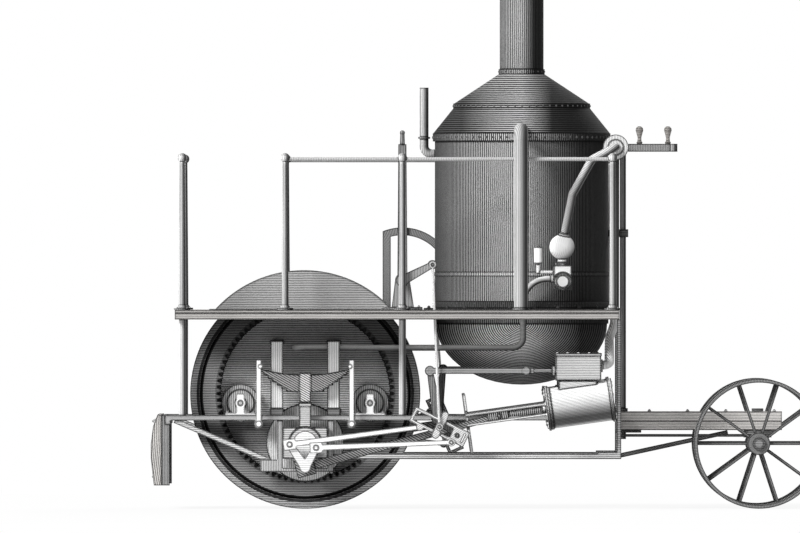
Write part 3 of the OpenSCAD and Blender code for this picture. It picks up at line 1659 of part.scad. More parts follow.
drum_shell();
ring_gears();
pinions();
rear_rollers();
front_rollers();
side_frames();
cross_members();
truss_bars();
pedestals();
axle_boxes();
leaf_springs();
spring_hangers();
roller_bearings();
tank_posts();
water_tank();
platform_joists();
platform_boards();
platform_props();
handrails();
drum_cover();
boiler_shell();
boiler_bowl();
boiler_cone();
chimney();
boiler_seat();
fire_door_frame();
fire_door();
steam_pipes();
pump_steam_pipe();
feed_pump();
feed_pipe();
exhaust_pipes();
relief_pipe();
cylinders();
steam_chests();
slide_bars();
crossheads();
connecting_rods();
crankshaft();
eccentric_rods();
expansion_links();
rockers();
valve_rods();
reversing_shaft();
reversing_lever();
reversing_quadrant();
lifting_rods();
rear_timber();
rear_angles();
perch();
perch_stay();
column_bracket();
steering_column();
steering_grips();
steering_rod_left();
steering_rod_right();
fore_axle();
front_wheel_left();
front_wheel_right();
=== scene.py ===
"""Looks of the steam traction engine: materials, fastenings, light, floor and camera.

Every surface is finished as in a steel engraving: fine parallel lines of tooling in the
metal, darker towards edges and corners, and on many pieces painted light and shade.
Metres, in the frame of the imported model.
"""
import math

import bpy
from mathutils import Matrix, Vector


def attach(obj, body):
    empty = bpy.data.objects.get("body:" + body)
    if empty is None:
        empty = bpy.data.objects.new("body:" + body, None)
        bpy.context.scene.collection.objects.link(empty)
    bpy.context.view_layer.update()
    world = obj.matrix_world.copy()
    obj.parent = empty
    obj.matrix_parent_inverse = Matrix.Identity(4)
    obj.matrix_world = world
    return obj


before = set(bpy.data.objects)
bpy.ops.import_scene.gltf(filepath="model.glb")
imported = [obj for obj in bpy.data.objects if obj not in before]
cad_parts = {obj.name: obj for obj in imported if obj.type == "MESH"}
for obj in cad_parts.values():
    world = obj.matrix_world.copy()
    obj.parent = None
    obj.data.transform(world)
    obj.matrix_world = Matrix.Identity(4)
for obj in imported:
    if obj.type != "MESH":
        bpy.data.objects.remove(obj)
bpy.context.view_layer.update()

# Places taken from the part's source, in millimetres from the drum's axis
MID_X = 1425
DRUM_R = 900
DECK_Z = 655
DECK_HALF = 1280
BOILER_X = 1696.5
BOILER_R = 682
BOWL_DEPTH = 480
SHELL_Z = 546
RING_Z = 1977
BAND_Z = 2235
STACK_Z = 2504
CRANK_Z = -384
CYL_Y = 1075
CYL_TILT = 8
CYL_REAR = 1902
BAR_OUT = 900
ROLLER_X = 506.4


def place(x, y, z):
    """Point of the row frame for a point in millimetres from the drum's axis."""
    return Vector(((x - MID_X) / 1000, y / 1000, (z + DRUM_R) / 1000))


def linear(shade):
    """Linear value of a display shade from 0 to 255."""
    s = min(max(shade, 0), 255) / 255
    return s / 12.92 if s <= 0.04045 else ((s + 0.055) / 1.055) ** 2.4


def grey(shade, warm=0.0):
    """Linear colour of a display shade, a little warmer where warm is above 0."""
    v = linear(shade)
    return (v * (1 + warm), v, v * (1 - warm), 1)


# Materials

# How far the ink of an edge reaches over the face beside it, and how dark it is
EDGE_REACH = 0.018
OUTLINE_REACH = 0.024
EDGE_PEN = 0.85
OUTLINE_PEN = 1.0
INK_SHADE = 16
# Ink begins where the cosine between a rounded and a true face falls below EDGE_START, and
# fills as fast as EDGE_GAIN says; the metal's grain makes it patchy
EDGE_START = 0.998
EDGE_GAIN = 45.0
EDGE_SAMPLES = 12
INK_GRAIN = 0.5
INK_LEAST = 0.7
# Sizes of the noises: slow stray of the lines, fine grain of the metal, broad blotches
WOBBLE_SCALE = 9.0
GRAIN_SCALE = 160.0
BLOTCH_SCALE = 2.3
# Lines: their stray and their width as shares of the pitch, and how sharp their sides are
STRAY = 0.35
LINE_WIDTH = 0.5
WIDTH_CHANGE = 0.7
SHARPNESS = 5.0
# Shares of the depth by which the metal is lighter between the lines and darker on them
LIGHTER = 0.5
DARKER = 0.75
# Upright lines are spaced along Y too, for the ends, and hatching runs at 30 degrees
ACROSS_SHARE = 0.35
HATCH_X = 0.5
HATCH_Z = 0.87
# Tone of the metal from its darkest blotches up
TONE_BLOTCH = 0.5
TONE_LEAST = 0.75
# Gloss and relief of the metal
SPECULAR = 0.08
SMOOTHEST = 0.68
ROUGHER = 0.25
RELIEF = 0.25
RELIEF_DEPTH = 0.002
GRAIN_RELIEF = 0.6
# A face looks along an axis where more than FLAT of its direction lies along it, and the
# round face of an arc looks less than TREAD along Y
FLAT = 0.9
TREAD = 0.5
# Highest factor that stops of tone can give
HIGHEST = 3.0
# Painted shade round a post or a pipe: factors from the side of the light to the side away from
# it
ROUND_PAINTED_SHADE = [(-1.0, 1.1), (-0.5, 1.2), (0.0, 0.85), (0.3, 0.4), (0.6, 0.13), (0.85, 0.16),
               (1.0, 0.9)]
# Lines along the boards on their tops, and level ones on the ends of the timbers
TOPS = [(2, 1)]
ENDS = [(2, 1), (0, 2)]
# Sides of a piece that lie away from the light
RIGHT = (1, 0, 0)
BELOW = (0, 0, -1)


class Nodes:
    """Short way to add and join shader nodes of one material."""

    def __init__(self, name):
        self.material = bpy.data.materials.new(name)
        self.material.use_nodes = True
        self.tree = self.material.node_tree
        self.tree.nodes.clear()

    def add(self, kind, **settings):
        node = self.tree.nodes.new(kind)
        for key, value in settings.items():
            setattr(node, key, value)
        return node

    def join(self, source, target):
        self.tree.links.new(source, target)

    def put(self, value, target):
        """Joins a socket to the target, or sets the target to a number."""
        if isinstance(value, bpy.types.NodeSocket):
            self.join(value, target)
        else:
            target.default_value = value

    def math(self, operation, a, b=0.0, c=0.0, clamp=False):
        node = self.add("ShaderNodeMath", operation=operation, use_clamp=clamp)
        for value, socket in zip((a, b, c), node.inputs):
            self.put(value, socket)
        return node.outputs[0]

    def mix(self, factor, a, b):
        node = self.add("ShaderNodeMix", data_type="RGBA")
        self.put(factor, node.inputs["Factor"])
        self.put(a, node.inputs[6])
        self.put(b, node.inputs[7])
        return node.outputs[2]

    def noise(self, vector, scale, detail=2.0):
        node = self.add("ShaderNodeTexNoise")
        node.inputs["Scale"].default_value = scale
        node.inputs["Detail"].default_value = detail
        self.join(vector, node.inputs["Vector"])
        return node.outputs["Fac"]

    def curve(self, factor, stops):
        """Number that follows stops of (place, value), each value from 0 to HIGHEST."""
        node = self.add("ShaderNodeValToRGB")
        elements = node.color_ramp.elements
        while len(elements) < len(stops):
            elements.new(0.5)
        for element, (at, value) in zip(elements, stops):
            element.position = at
            element.color = (value / HIGHEST, value / HIGHEST, value / HIGHEST, 1)
        self.join(factor, node.inputs["Fac"])
        return self.math("MULTIPLY", node.outputs["Color"], HIGHEST)

    def split(self, vector):
        """The three parts of a vector, as a list of sockets."""
        node = self.add("ShaderNodeSeparateXYZ")
        self.join(vector, node.inputs[0])
        return list(node.outputs)

    def dot(self, a, b):
        """Dot product of two vectors, of which b may be a tuple of numbers."""
        node = self.add("ShaderNodeVectorMath", operation="DOT_PRODUCT")
        self.join(a, node.inputs[0])
        self.put(b, node.inputs[1])
        return node.outputs["Value"]


def line_coordinate(n, parts, mode, centre):
    """Distance across the lines of a surface, in metres, for the given way of lining it."""
    x, y, z = parts
    if mode == "upright":
        return n.math("ADD", x, n.math("MULTIPLY", y, ACROSS_SHARE))
    if mode == "level":
        return z
    if mode == "slope":
        a = math.radians(CYL_TILT)
        return n.math("SUBTRACT", n.math("MULTIPLY", z, math.cos(a)),
                      n.math("MULTIPLY", x, math.sin(a)))
    if mode == "along":
        a = math.radians(CYL_TILT)
        return n.math("ADD", n.math("MULTIPLY", x, math.cos(a)),
                      n.math("MULTIPLY", z, math.sin(a)))
    if mode == "hatch":
        return n.math("ADD", n.math("MULTIPLY", x, HATCH_X), n.math("MULTIPLY", z, HATCH_Z))
    dx = n.math("SUBTRACT", x, centre[0])
    if mode == "round":
        dy = n.math("SUBTRACT", y, centre[1])
        return n.math("MULTIPLY", n.math("ARCTAN2", dy, dx), centre[2])
    dz = n.math("SUBTRACT", z, centre[1])
    if mode == "spokes":
        return n.math("MULTIPLY", n.math("ARCTAN2", dz, dx), centre[2])
    dz = n.math("MULTIPLY", dz, centre[2])
    return n.math("SQRT", n.math("ADD", n.math("MULTIPLY", dx, dx), n.math("MULTIPLY", dz, dz)))


def along_axis(n, part, stops):
    """Factor that follows stops of (place, factor) along one axis."""
    low, high = stops[0][0], stops[-1][0]
    at = n.math("DIVIDE", n.math("SUBTRACT", part, low), high - low, clamp=True)
    return n.curve(at, [((x - low) / (high - low), f) for x, f in stops])


def inside(n, parts, limits):
    """1 where the place lies within all the limits of (axis, low, high), else 0."""
    result = 1.0
    for axis, low, high in limits:
        within = n.math("COMPARE", parts[axis], (low + high) / 2, (high - low) / 2)
        result = n.math("MULTIPLY", within, result)
    return result


def strokes(n, along, pitch, wobble, grain):
    """How deep the tool cut, from 0 between the lines to 1 on a line."""
    along = n.math("MULTIPLY_ADD", wobble, STRAY * pitch, along)
    phase = n.math("FRACT", n.math("DIVIDE", along, pitch))
    wave = n.math("ABSOLUTE", n.math("SUBTRACT", n.math("MULTIPLY", phase, 2.0), 1.0))
    width = n.math("MULTIPLY_ADD", n.math("SUBTRACT", grain, 0.5), WIDTH_CHANGE, LINE_WIDTH)
    return n.math("MULTIPLY_ADD", n.math("SUBTRACT", width, wave), SHARPNESS, 0.5, clamp=True)


def ink_at_edges(n, normal, grain, reach):
    """How much ink lies on a place, up to 1 at an edge or in a corner."""
    bevel = n.add("ShaderNodeBevel", samples=EDGE_SAMPLES)
    bevel.inputs["Radius"].default_value = reach
    same = n.dot(bevel.outputs["Normal"], normal)
    edge = n.math("MULTIPLY", n.math("SUBTRACT", EDGE_START, same), EDGE_GAIN, clamp=True)
    patchy = n.math("MULTIPLY_ADD", grain, INK_GRAIN, INK_LEAST)
    return n.math("MULTIPLY", edge, patchy, clamp=True)


def engraved(name, shade, mode, pitch, depth, centre=(0, 0, 1), pen=EDGE_PEN, reach=EDGE_REACH,
             across=None, rise=None, bands=(), rims=(), turned=None, faces=(), arc=None,
             warm=0.0):
    """Metal or wood lined as an engraver would.

    Shade is its mean display shade, depth the contrast of the lines and pen how dark its
    edges are. The stops across (along X) and rise (along Z) are painted light and shade, and
    rims round the centre, each as (inner radius, outer radius, factor), are painted shade;
    bands, each as (limits, factor), lighten or darken it. A round piece gets painted shade on
    its side towards the direction turned. Where a face looks along the first axis of a pair in
    faces, its lines are spaced along the second. With arc, the round face about that centre
    has lines across its width and no painted shade from the stops of rise.
    """
    n = Nodes(name)
    where = n.add("ShaderNodeTexCoord").outputs["Object"]
    normal = n.add("ShaderNodeNewGeometry").outputs["Normal"]
    parts = n.split(where)
    looks = n.split(normal)
    wobble = n.noise(where, WOBBLE_SCALE)
    grain = n.noise(where, GRAIN_SCALE, 3.0)
    blotch = n.noise(where, BLOTCH_SCALE, 4.0)

    # Lines, with the faces that have their own way of lining
    along = line_coordinate(n, parts, mode, centre)
    for axis, other in faces:
        flat = n.math("GREATER_THAN", n.math("ABSOLUTE", looks[axis]), FLAT)
        change = n.math("MULTIPLY", flat, n.math("SUBTRACT", parts[other], along))
        along = n.math("ADD", along, change)
    if arc:
        tread = n.math("LESS_THAN", n.math("ABSOLUTE", looks[1]), TREAD)
        around = line_coordinate(n, parts, "spokes", arc)
        change = n.math("MULTIPLY", tread, n.math("SUBTRACT", around, along))
        along = n.math("ADD", along, change)
    cut = strokes(n, along, pitch, wobble, grain)
    light = grey(shade * (1 + depth * LIGHTER), warm)
    dark = grey(shade * (1 - depth * DARKER), warm)
    colour = n.mix(cut, light, dark)

    # Tones from place to place: random blotches, painted light and shade, and the bands
    tint = n.math("MULTIPLY_ADD", blotch, TONE_BLOTCH, TONE_LEAST)
    # Painted light and shade along X, from the stops across
    if across:
        tint = n.math("MULTIPLY", tint, along_axis(n, parts[0], across))
    # Painted shadow along Z, from the stops of rise, which an arc's round face goes without
    if rise:
        factor = along_axis(n, parts[2], rise)
        if arc:
            factor = n.math("MAXIMUM", factor, tread)
        tint = n.math("MULTIPLY", tint, factor)
    for limits, factor in bands:
        change = n.math("MULTIPLY_ADD", inside(n, parts, limits), factor - 1, 1.0)
        tint = n.math("MULTIPLY", tint, change)
    # Painted shade in rings round the centre
    if rims:
        radius = line_coordinate(n, parts, "rings", centre)
    for inner, outer, factor in rims:
        within = n.math("COMPARE", radius, (inner + outer) / 2, (outer - inner) / 2)
        tint = n.math("MULTIPLY", tint, n.math("MULTIPLY_ADD", within, factor - 1, 1.0))
    # Painted shade on the side of a round piece that faces the direction turned
    if turned:
        away = n.dot(normal, turned)
        tint = n.math("MULTIPLY", tint, along_axis(n, away, ROUND_PAINTED_SHADE))
    tone = n.add("ShaderNodeVectorMath", operation="SCALE")
    n.join(colour, tone.inputs[0])
    n.put(tint, tone.inputs["Scale"])

    ink = n.math("MULTIPLY", ink_at_edges(n, normal, grain, reach), pen)
    shader = n.add("ShaderNodeBsdfPrincipled")
    n.join(n.mix(ink, tone.outputs[0], grey(INK_SHADE)), shader.inputs["Base Color"])
    shader.inputs["Specular IOR Level"].default_value = SPECULAR
    n.join(n.math("MULTIPLY_ADD", grain, ROUGHER, SMOOTHEST), shader.inputs["Roughness"])
    bump = n.add("ShaderNodeBump")
    bump.inputs["Strength"].default_value = RELIEF
    bump.inputs["Distance"].default_value = RELIEF_DEPTH
    height = n.math("SUBTRACT", n.math("MULTIPLY", grain, GRAIN_RELIEF), cut)
    n.join(height, bump.inputs["Height"])
    n.join(bump.outputs["Normal"], shader.inputs["Normal"])
    out = n.add("ShaderNodeOutputMaterial")
    n.join(shader.outputs[0], out.inputs["Surface"])
    return n.material


BOILER_AT = place(BOILER_X, 0, 0)
DRUM_AT = place(0, 0, 0)
# Centres of round lines and spokes as two places and a radius, and of rings as two places
# and how far they are stretched along Z
AROUND_BOILER = (BOILER_AT.x, 0, 0.68)
AROUND_CHIMNEY = (BOILER_AT.x, 0, 0.172)
AROUND_DRUM = (DRUM_AT.x, DRUM_AT.z, 0.9)
RINGS_OF_DRUM = (DRUM_AT.x, DRUM_AT.z, 1)
RINGS_OF_BOWL = (BOILER_AT.x, (SHELL_Z + DRUM_R) / 1000, BOILER_R / BOWL_DEPTH)
RINGS_OF_TIMBER = (-2.9, 0.62, 0.35)
AROUND_QUADRANT = (-0.665, 1.785, 0.4)
AROUND_WHEEL = (2.124, 0.508, 0.5)


def over_boiler(half, factors):
    """Stops of painted shade along X across the boiler, from its rear edge to its front edge.
    """
    last = len(factors) - 1
    return [(BOILER_AT.x + half * (2 * i / last - 1), f) for i, f in enumerate(factors)]


# Painted shade across the boiler's shell, bowl and cone and the chimney: lightest near the
# middle, darker at the rear edge and darkest towards the front, away from the light
BODY_PAINTED_SHADE = over_boiler(0.69, (0.2, 0.65, 1.05, 1.3, 0.5, 0.12, 0.07))
BOWL_PAINTED_SHADE = over_boiler(0.69, (0.3, 0.8, 1.4, 1.5, 0.55, 0.06, 0.03))
CONE_PAINTED_SHADE = over_boiler(0.70, (0.1, 0.14, 0.65, 0.95, 0.06, 0.02, 0.02))
STACK_PAINTED_SHADE = over_boiler(0.19, (0.4, 0.75, 1.08, 0.07, 0.04))
# Painted shadow up the drum, its ring gears and the water tank: a dark band below the drum's
# axis and darker towards the top, under the platform; and painted shade up the boiler's bowl,
# darker towards the bottom
DRUM_RISE = [(0.0, 1.15), (0.44, 1.0), (0.52, 0.4), (0.66, 0.4), (0.73, 1.0), (1.08, 1.0),
             (1.24, 0.45), (1.48, 0.25)]
TANK_RISE = [(0.2, 0.9), (0.44, 0.8), (0.52, 0.3), (0.66, 0.3), (0.73, 1.25), (1.02, 1.2),
             (1.16, 0.5), (1.5, 0.4)]
BOWL_RISE = [(0.95, 0.2), (1.12, 0.3), (1.22, 0.8), (1.3, 1.3), (1.45, 1.3)]
# Places between the limits that are lighter or darker than the rest of a piece
SEAM = [([(2, 1.818, 1.850)], 1.6)]
HEADERS = [([(1, -0.75, 0.75), (2, 1.5, 4.0)], 0.07)]
RAIL = [([(2, 2.70, 2.76)], 1.5)]
BUCKLE = [([(0, DRUM_AT.x - 0.047, DRUM_AT.x + 0.047)], 2.0)]

# node: shade, way of lining, pitch, depth, and other settings, painted light and shade among
# them
FINISHES = {
    # Painted shade on the drum's rims: a dark ring in the gap between the hoop and the ring
    # gears, and a darker ring round the ring gears' inner edge
    "drum_shell": (126, "level", 0.013, 0.75,
                   {"rise": DRUM_RISE, "centre": RINGS_OF_DRUM, "rims": [(0.83, 0.850, 0.1)],
                    "arc": AROUND_DRUM}),
    "ring_gears": (112, "level", 0.013, 0.6,
                   {"rise": DRUM_RISE, "centre": RINGS_OF_DRUM,
                    "rims": [(0.800, 0.850, 0.1), (0.5, 0.705, 0.6)]}),
    "pinions": (225, "upright", 0.014, 0.35, {}),
    "rear_rollers": (175, "upright", 0.014, 0.5, {}),
    "front_rollers": (175, "upright", 0.014, 0.5, {}),
    "side_frames": (170, "level", 0.010, 0.35, {"faces": TOPS}),
    "cross_members": (120, "level", 0.012, 0.4, {"faces": TOPS}),
    "truss_bars": (190, "level", 0.014, 0.4, {}),
    "pedestals": (170, "upright", 0.013, 0.4, {}),
    "axle_boxes": (180, "level", 0.016, 0.3, {"faces": TOPS}),
    "leaf_springs": (122, "hatch", 0.0160, 0.6, {"bands": BUCKLE}),
    "spring_hangers": (252, "upright", 0.016, 0.02, {"reach": 0.014}),
    "roller_bearings": (246, "level", 0.016, 0.03, {"faces": TOPS}),
    "tank_posts": (246, "upright", 0.014, 0.3, {}),
    "water_tank": (230, "level", 0.014, 0.7, {"rise": TANK_RISE}),
    "platform_joists": (165, "level", 0.012, 0.35, {"warm": 0.03, "faces": TOPS}),
    "platform_boards": (165, "level", 0.012, 0.35, {"warm": 0.03, "faces": TOPS}),
    "platform_props": (200, "upright", 0.012, 0.2, {"turned": RIGHT}),
    "handrails": (174, "upright", 0.013, 0.2, {"turned": RIGHT, "bands": RAIL}),
    "drum_cover": (156, "level", 0.0135, 0.5, {"arc": AROUND_DRUM}),
    "boiler_shell": (112, "round", 0.0162, 1.25,
                     {"centre": AROUND_BOILER, "across": BODY_PAINTED_SHADE, "bands": SEAM}),
    "boiler_bowl": (150, "rings", 0.017, 0.9,
                    {"centre": RINGS_OF_BOWL, "across": BOWL_PAINTED_SHADE, "rise": BOWL_RISE}),
    "boiler_cone": (128, "level", 0.0165, 1.0, {"across": CONE_PAINTED_SHADE}),
    "chimney": (130, "round", 0.016, 1.0,
                {"centre": AROUND_CHIMNEY, "across": STACK_PAINTED_SHADE}),
    "boiler_seat": (70, "round", 0.016, 0.4, {"centre": AROUND_BOILER}),
    "fire_door_frame": (80, "level", 0.014, 0.3, {}),
    "fire_door": (100, "upright", 0.014, 0.3, {}),
    "steam_pipes": (215, "upright", 0.012, 0.3, {"bands": HEADERS}),
    "pump_steam_pipe": (185, "hatch", 0.012, 0.35, {"turned": (0.8, 0, -0.6)}),
    "feed_pump": (250, "upright", 0.014, 0.1, {"turned": (0.5, 0.6, -0.62)}),
    "feed_pipe": (185, "level", 0.010, 0.3, {"turned": (0.6, 0, -0.8)}),
    "exhaust_pipes": (165, "upright", 0.013, 0.2, {"turned": RIGHT}),
    "relief_pipe": (175, "upright", 0.013, 0.25, {"turned": RIGHT}),
    "cylinders": (215, "slope", 0.011, 0.3, {"turned": BELOW}),
    "steam_chests": (182, "level", 0.013, 0.35, {"faces": TOPS}),
    "slide_bars": (232, "slope", 0.014, 0.1, {}),
    "crossheads": (105, "along", 0.016, 1.2, {}),
    "connecting_rods": (120, "hatch", 0.0175, 0.6, {}),
    "crankshaft": (235, "level", 0.014, 0.2, {}),
    "eccentric_rods": (250, "level", 0.016, 0.03, {"faces": TOPS}),
    "expansion_links": (205, "hatch", 0.012, 0.3, {}),
    "rockers": (115, "upright", 0.013, 0.5, {}),
    "valve_rods": (145, "level", 0.012, 0.4, {}),
    "reversing_shaft": (150, "upright", 0.012, 0.4, {}),
    "reversing_lever": (140, "upright", 0.013, 0.4, {}),
    "reversing_quadrant": (130, "spokes", 0.013, 0.4, {"centre": AROUND_QUADRANT}),
    "lifting_rods": (235, "upright", 0.014, 0.1, {}),
    "rear_timber": (166, "rings", 0.014, 0.5,
                    {"centre": RINGS_OF_TIMBER, "warm": 0.03, "faces": ENDS}),
    "rear_angles": (135, "upright", 0.012, 0.4, {}),
    "perch": (250, "level", 0.012, 0.5, {"warm": 0.03, "faces": TOPS}),
    "perch_stay": (110, "hatch", 0.012, 0.5, {}),
    "column_bracket": (90, "level", 0.013, 0.4, {"faces": TOPS}),
    "steering_column": (150, "upright", 0.013, 0.3, {"turned": RIGHT}),
    "steering_grips": (150, "level", 0.012, 0.35, {"warm": 0.05}),
    "steering_rod_left": (120, "level", 0.012, 0.3, {}),
    "steering_rod_right": (120, "level", 0.012, 0.3, {}),
    "fore_axle": (130, "level", 0.013, 0.4, {}),
    "front_wheel_left": (120, "spokes", 0.012, 0.4, {"centre": AROUND_WHEEL}),
    "front_wheel_right": (120, "spokes", 0.012, 0.4, {"centre": AROUND_WHEEL}),
}

# Pieces that stand out by a broad outline
OUTLINED = "axle_boxes cylinders feed_pump leaf_springs pinions steam_chests tank_posts".split()

# Each node's material, named finish after the node, carries its engraved lines and any painted
# light and shade from its settings
for node, (shade, mode, pitch, depth, more) in FINISHES.items():
    if node in OUTLINED:
        more = {"reach": OUTLINE_REACH, "pen": OUTLINE_PEN, **more}
    material = engraved("finish_" + node, shade, mode, pitch, depth, **more)
    for place_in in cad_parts[node].material_slots:
        place_in.material = material


# Shapes made in code

SHARP_EDGE = math.radians(35)


class Shape:
    """Vertices and faces of one piece, built from turned forms."""

    def __init__(self):
        self.points = []
        self.faces = []

    def turned(self, at, axis, profile, sides):
        """Turned form along axis from the point at, through profile points (along, radius)."""
        axis = Vector(axis).normalized()
        turn = axis.to_track_quat("Z", "Y").to_matrix()
        first = len(self.points)
        for along, radius in profile:
            for i in range(sides):
                a = 2 * math.pi * i / sides
                p = Vector((radius * math.cos(a), radius * math.sin(a), along))
                self.points.append(Vector(at) + turn @ p)
        for j in range(len(profile) - 1):
            for i in range(sides):
                a = first + j * sides + i
                b = first + j * sides + (i + 1) % sides
                self.faces.append((a, b, b + sides, a + sides))
        self.faces.append(tuple(first + i for i in reversed(range(sides))))
        last = first + (len(profile) - 1) * sides
        self.faces.append(tuple(last + i for i in range(sides)))

    def nut(self, at, axis, r):
        """Six-sided nut on its washer, with the end of its bolt."""
        self.turned(at, axis, [(0, 1.45 * r), (0.22 * r, 1.45 * r)], 16)
        self.turned(at, axis, [(0.2 * r, r), (0.95 * r, r), (1.1 * r, 0.84 * r)], 6)
        self.turned(at, axis, [(r, 0.5 * r), (1.45 * r, 0.5 * r), (1.55 * r, 0.38 * r)], 10)

    def rivet(self, at, axis, r):
        """Round rivet head."""
        profile = [(-0.1 * r, r)] + [
            (0.62 * r * math.sin(a), r * math.cos(a)) for a in (0.3, 0.7, 1.1, 1.45)
        ]
        self.turned(at, axis, profile, 8)

    def piece(self, name, material, body):
        """Makes the object, smooth apart from its sharp edges, and lets it ride on the body."""
        mesh = bpy.data.meshes.new(name)
        mesh.from_pydata([tuple(p) for p in self.points], [], self.faces)
        mesh.validate()
        mesh.polygons.foreach_set("use_smooth", [True] * len(mesh.polygons))
        mesh.set_sharp_from_angle(angle=SHARP_EDGE)
        mesh.update()
        obj = bpy.data.objects.new(name, mesh)
        bpy.context.collection.objects.link(obj)
        obj.data.materials.append(material)
        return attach(obj, body)


def on_slope(u, v, w, side):
    """Point u along the cylinders' slope from the crankshaft, v outwards and w square to it."""
    a = math.radians(CYL_TILT)
    x = u * math.cos(a) - w * math.sin(a)
    z = CRANK_Z + u * math.sin(a) + w * math.cos(a)
    return place(x, side * (CYL_Y + v), z)


SLOPE = Vector((math.cos(math.radians(CYL_TILT)), 0, math.sin(math.radians(CYL_TILT))))
UP = Vector((0, 0, 1))
REARWARDS = Vector((-1, 0, 0))
SMALL_REACH = 0.004
NAIL_REACH = 0.003
bright = engraved("finish_nuts", 225, "upright", 0.009, 0.2, pen=0.9, reach=SMALL_REACH)
black = engraved("finish_rivets", 92, "level", 0.010, 0.4, pen=0.6, reach=SMALL_REACH)
nails = engraved("finish_nails", 70, "level", 0.010, 0.3, pen=0.5, reach=NAIL_REACH)


def ring_of(count, radius, z, start):
    """Points and outward directions round the boiler's axis."""
    for i in range(count):
        a = start + 2 * math.pi * i / count
        out = Vector((math.cos(a), math.sin(a), 0))
        yield BOILER_AT + out * radius / 1000 + UP * z / 1000, out


# Rows of rivets of the boiler and the chimney: how many, radius, height, turn, head
RIVET_ROWS = [
    (76, BOILER_R + 16, RING_Z + 31, 0, 0.011),
    (60, 538, BAND_Z + 19, 0, 0.009),
    (24, 181, STACK_Z + 20, 0, 0.007),
    (72, BOILER_R + 14, DECK_Z + 28, 0.028, 0.006),
    (72, BOILER_R + 14, DECK_Z + 50, 0.050, 0.006),
]
boiler_rivets = Shape()
for count, radius, height, turn, head in RIVET_ROWS:
    for point, out in ring_of(count, radius, height, turn):
        boiler_rivets.rivet(point, out, head)
boiler_rivets.piece("boiler_rivets", black, "root")

# Bolts that hold the boiler's seat down on the platform
SEAT_BOLTS = 24
SEAT_CIRCLE = 735
SEAT_TOP = DECK_Z + 14
seat_bolts = Shape()
for point, _ in ring_of(SEAT_BOLTS, SEAT_CIRCLE, SEAT_TOP, math.pi / SEAT_BOLTS):
    seat_bolts.nut(point, UP, 0.012)
seat_bolts.piece("seat_bolts", black, "root")

# Studs round the cylinder covers, and on the lids of the steam chests
COVER_STUDS = 10
STUD_CIRCLE = 138
CYL_LENGTH = 532
LID_Z = 318
LID_HALF = 76
LID_STUDS_X = (1970, 2050, 2134, 2218, 2298)
cylinder_studs = Shape()
for side in (-1, 1):
    for i in range(COVER_STUDS):
        a = 2 * math.pi * (i + 0.5) / COVER_STUDS
        v, w = STUD_CIRCLE * math.cos(a), STUD_CIRCLE * math.sin(a)
        cylinder_studs.rivet(on_slope(CYL_REAR, v, w, side), -SLOPE, 0.012)
        cylinder_studs.rivet(on_slope(CYL_REAR + CYL_LENGTH, v, w, side), SLOPE, 0.012)
    for x in LID_STUDS_X:
        for y in (CYL_Y - LID_HALF, CYL_Y + LID_HALF):
            cylinder_studs.rivet(place(x, side * y, LID_Z), UP, 0.010)
cylinder_studs.piece("cylinder_studs", bright, "root")

# Nuts on the feet of the roller bearings, rail posts and reversing stands
BEARING_Y = BAR_OUT - 35
BEARING_TOP = -149
BEARING_BOLT = 100
POSTS_X = (-959, -156, 760, 2402)
POST_Y = 1140
POST_CIRCLE = 54
POST_FOOT = DECK_Z + 14
STAND_X = 760
STAND_Y = 970
STAND_BOLT = 130
STAND_FOOT = DECK_Z + 20
foot_nuts = Shape()
for side in (-1, 1):
    for x in (-ROLLER_X, ROLLER_X):
        for dx in (-BEARING_BOLT, BEARING_BOLT):
            foot_nuts.nut(place(x + dx, side * BEARING_Y, BEARING_TOP), UP, 0.008)
    for x in POSTS_X:
        for a in (45, 135, 225, 315):
            dx = POST_CIRCLE * math.cos(math.radians(a))
            dy = POST_CIRCLE * math.sin(math.radians(a))
            foot_nuts.nut(place(x + dx, side * POST_Y + dy, POST_FOOT), UP, 0.006)
    for dx in (-STAND_BOLT, STAND_BOLT):
        foot_nuts.nut(place(STAND_X + dx, side * STAND_Y, STAND_FOOT), UP, 0.009)
foot_nuts.piece("foot_nuts", bright, "root")

# Bolts through the rear timber, the perch and the keeper plates
TIMBER_X = -1096 - 27 - 60
TIMBER_BOLTS_Y = (620, 865)
TIMBER_BOLTS_Z = (-215, -430, -650)
KEEPER_X = 205
KEEPER_Y = 865
KEEPER_BOTTOM = -610
PERCH_BOLTS_X = (2700, 3000, 3300, 3680)
PERCH_BOLTS_Y = 55
PERCH_TOP = -143
frame_bolts = Shape()
for side in (-1, 1):
    for y in TIMBER_BOLTS_Y:
        for z in TIMBER_BOLTS_Z:
            frame_bolts.nut(place(TIMBER_X, side * y, z), REARWARDS, 0.010)
    for x in (-KEEPER_X, KEEPER_X):
        frame_bolts.nut(place(x, side * KEEPER_Y, KEEPER_BOTTOM), -UP, 0.010)
    for x in PERCH_BOLTS_X:
        frame_bolts.nut(place(x, side * PERCH_BOLTS_Y, PERCH_TOP), UP, 0.011)
frame_bolts.piece("frame_bolts", bright, "root")

# Nails of the platform's boards, in rows over the timbers below
BOARD_PITCH = 214
NAILS_ON_BOARD = (50, 160)
NAILS_REAR, NAILS_MIDDLE, NAILS_FRONT = -980, 945, 2418
NAILS_END = DECK_HALF - 60
MIDDLE_END = 720
deck_nails = Shape()
for row in range(-6, 6):
    for x in (NAILS_REAR, NAILS_MIDDLE, NAILS_FRONT):
        for dy in NAILS_ON_BOARD:
            y = row * BOARD_PITCH + dy
            if abs(y) < NAILS_END and (x != NAILS_MIDDLE or abs(y) < MIDDLE_END):
                deck_nails.rivet(place(x, y, DECK_Z - 1), UP, 0.006)
deck_nails.piece("deck_nails", nails, "root")


# Floor, light and camera

FLOOR_RADIUS = 12
FLOOR_Z = -0.001
FLOOR_SIDES = 96
# How much of the floor's white the camera sees, apart from its light and shade
FLOOR_WHITE = 0.9
WORLD_LIGHT = 0.30


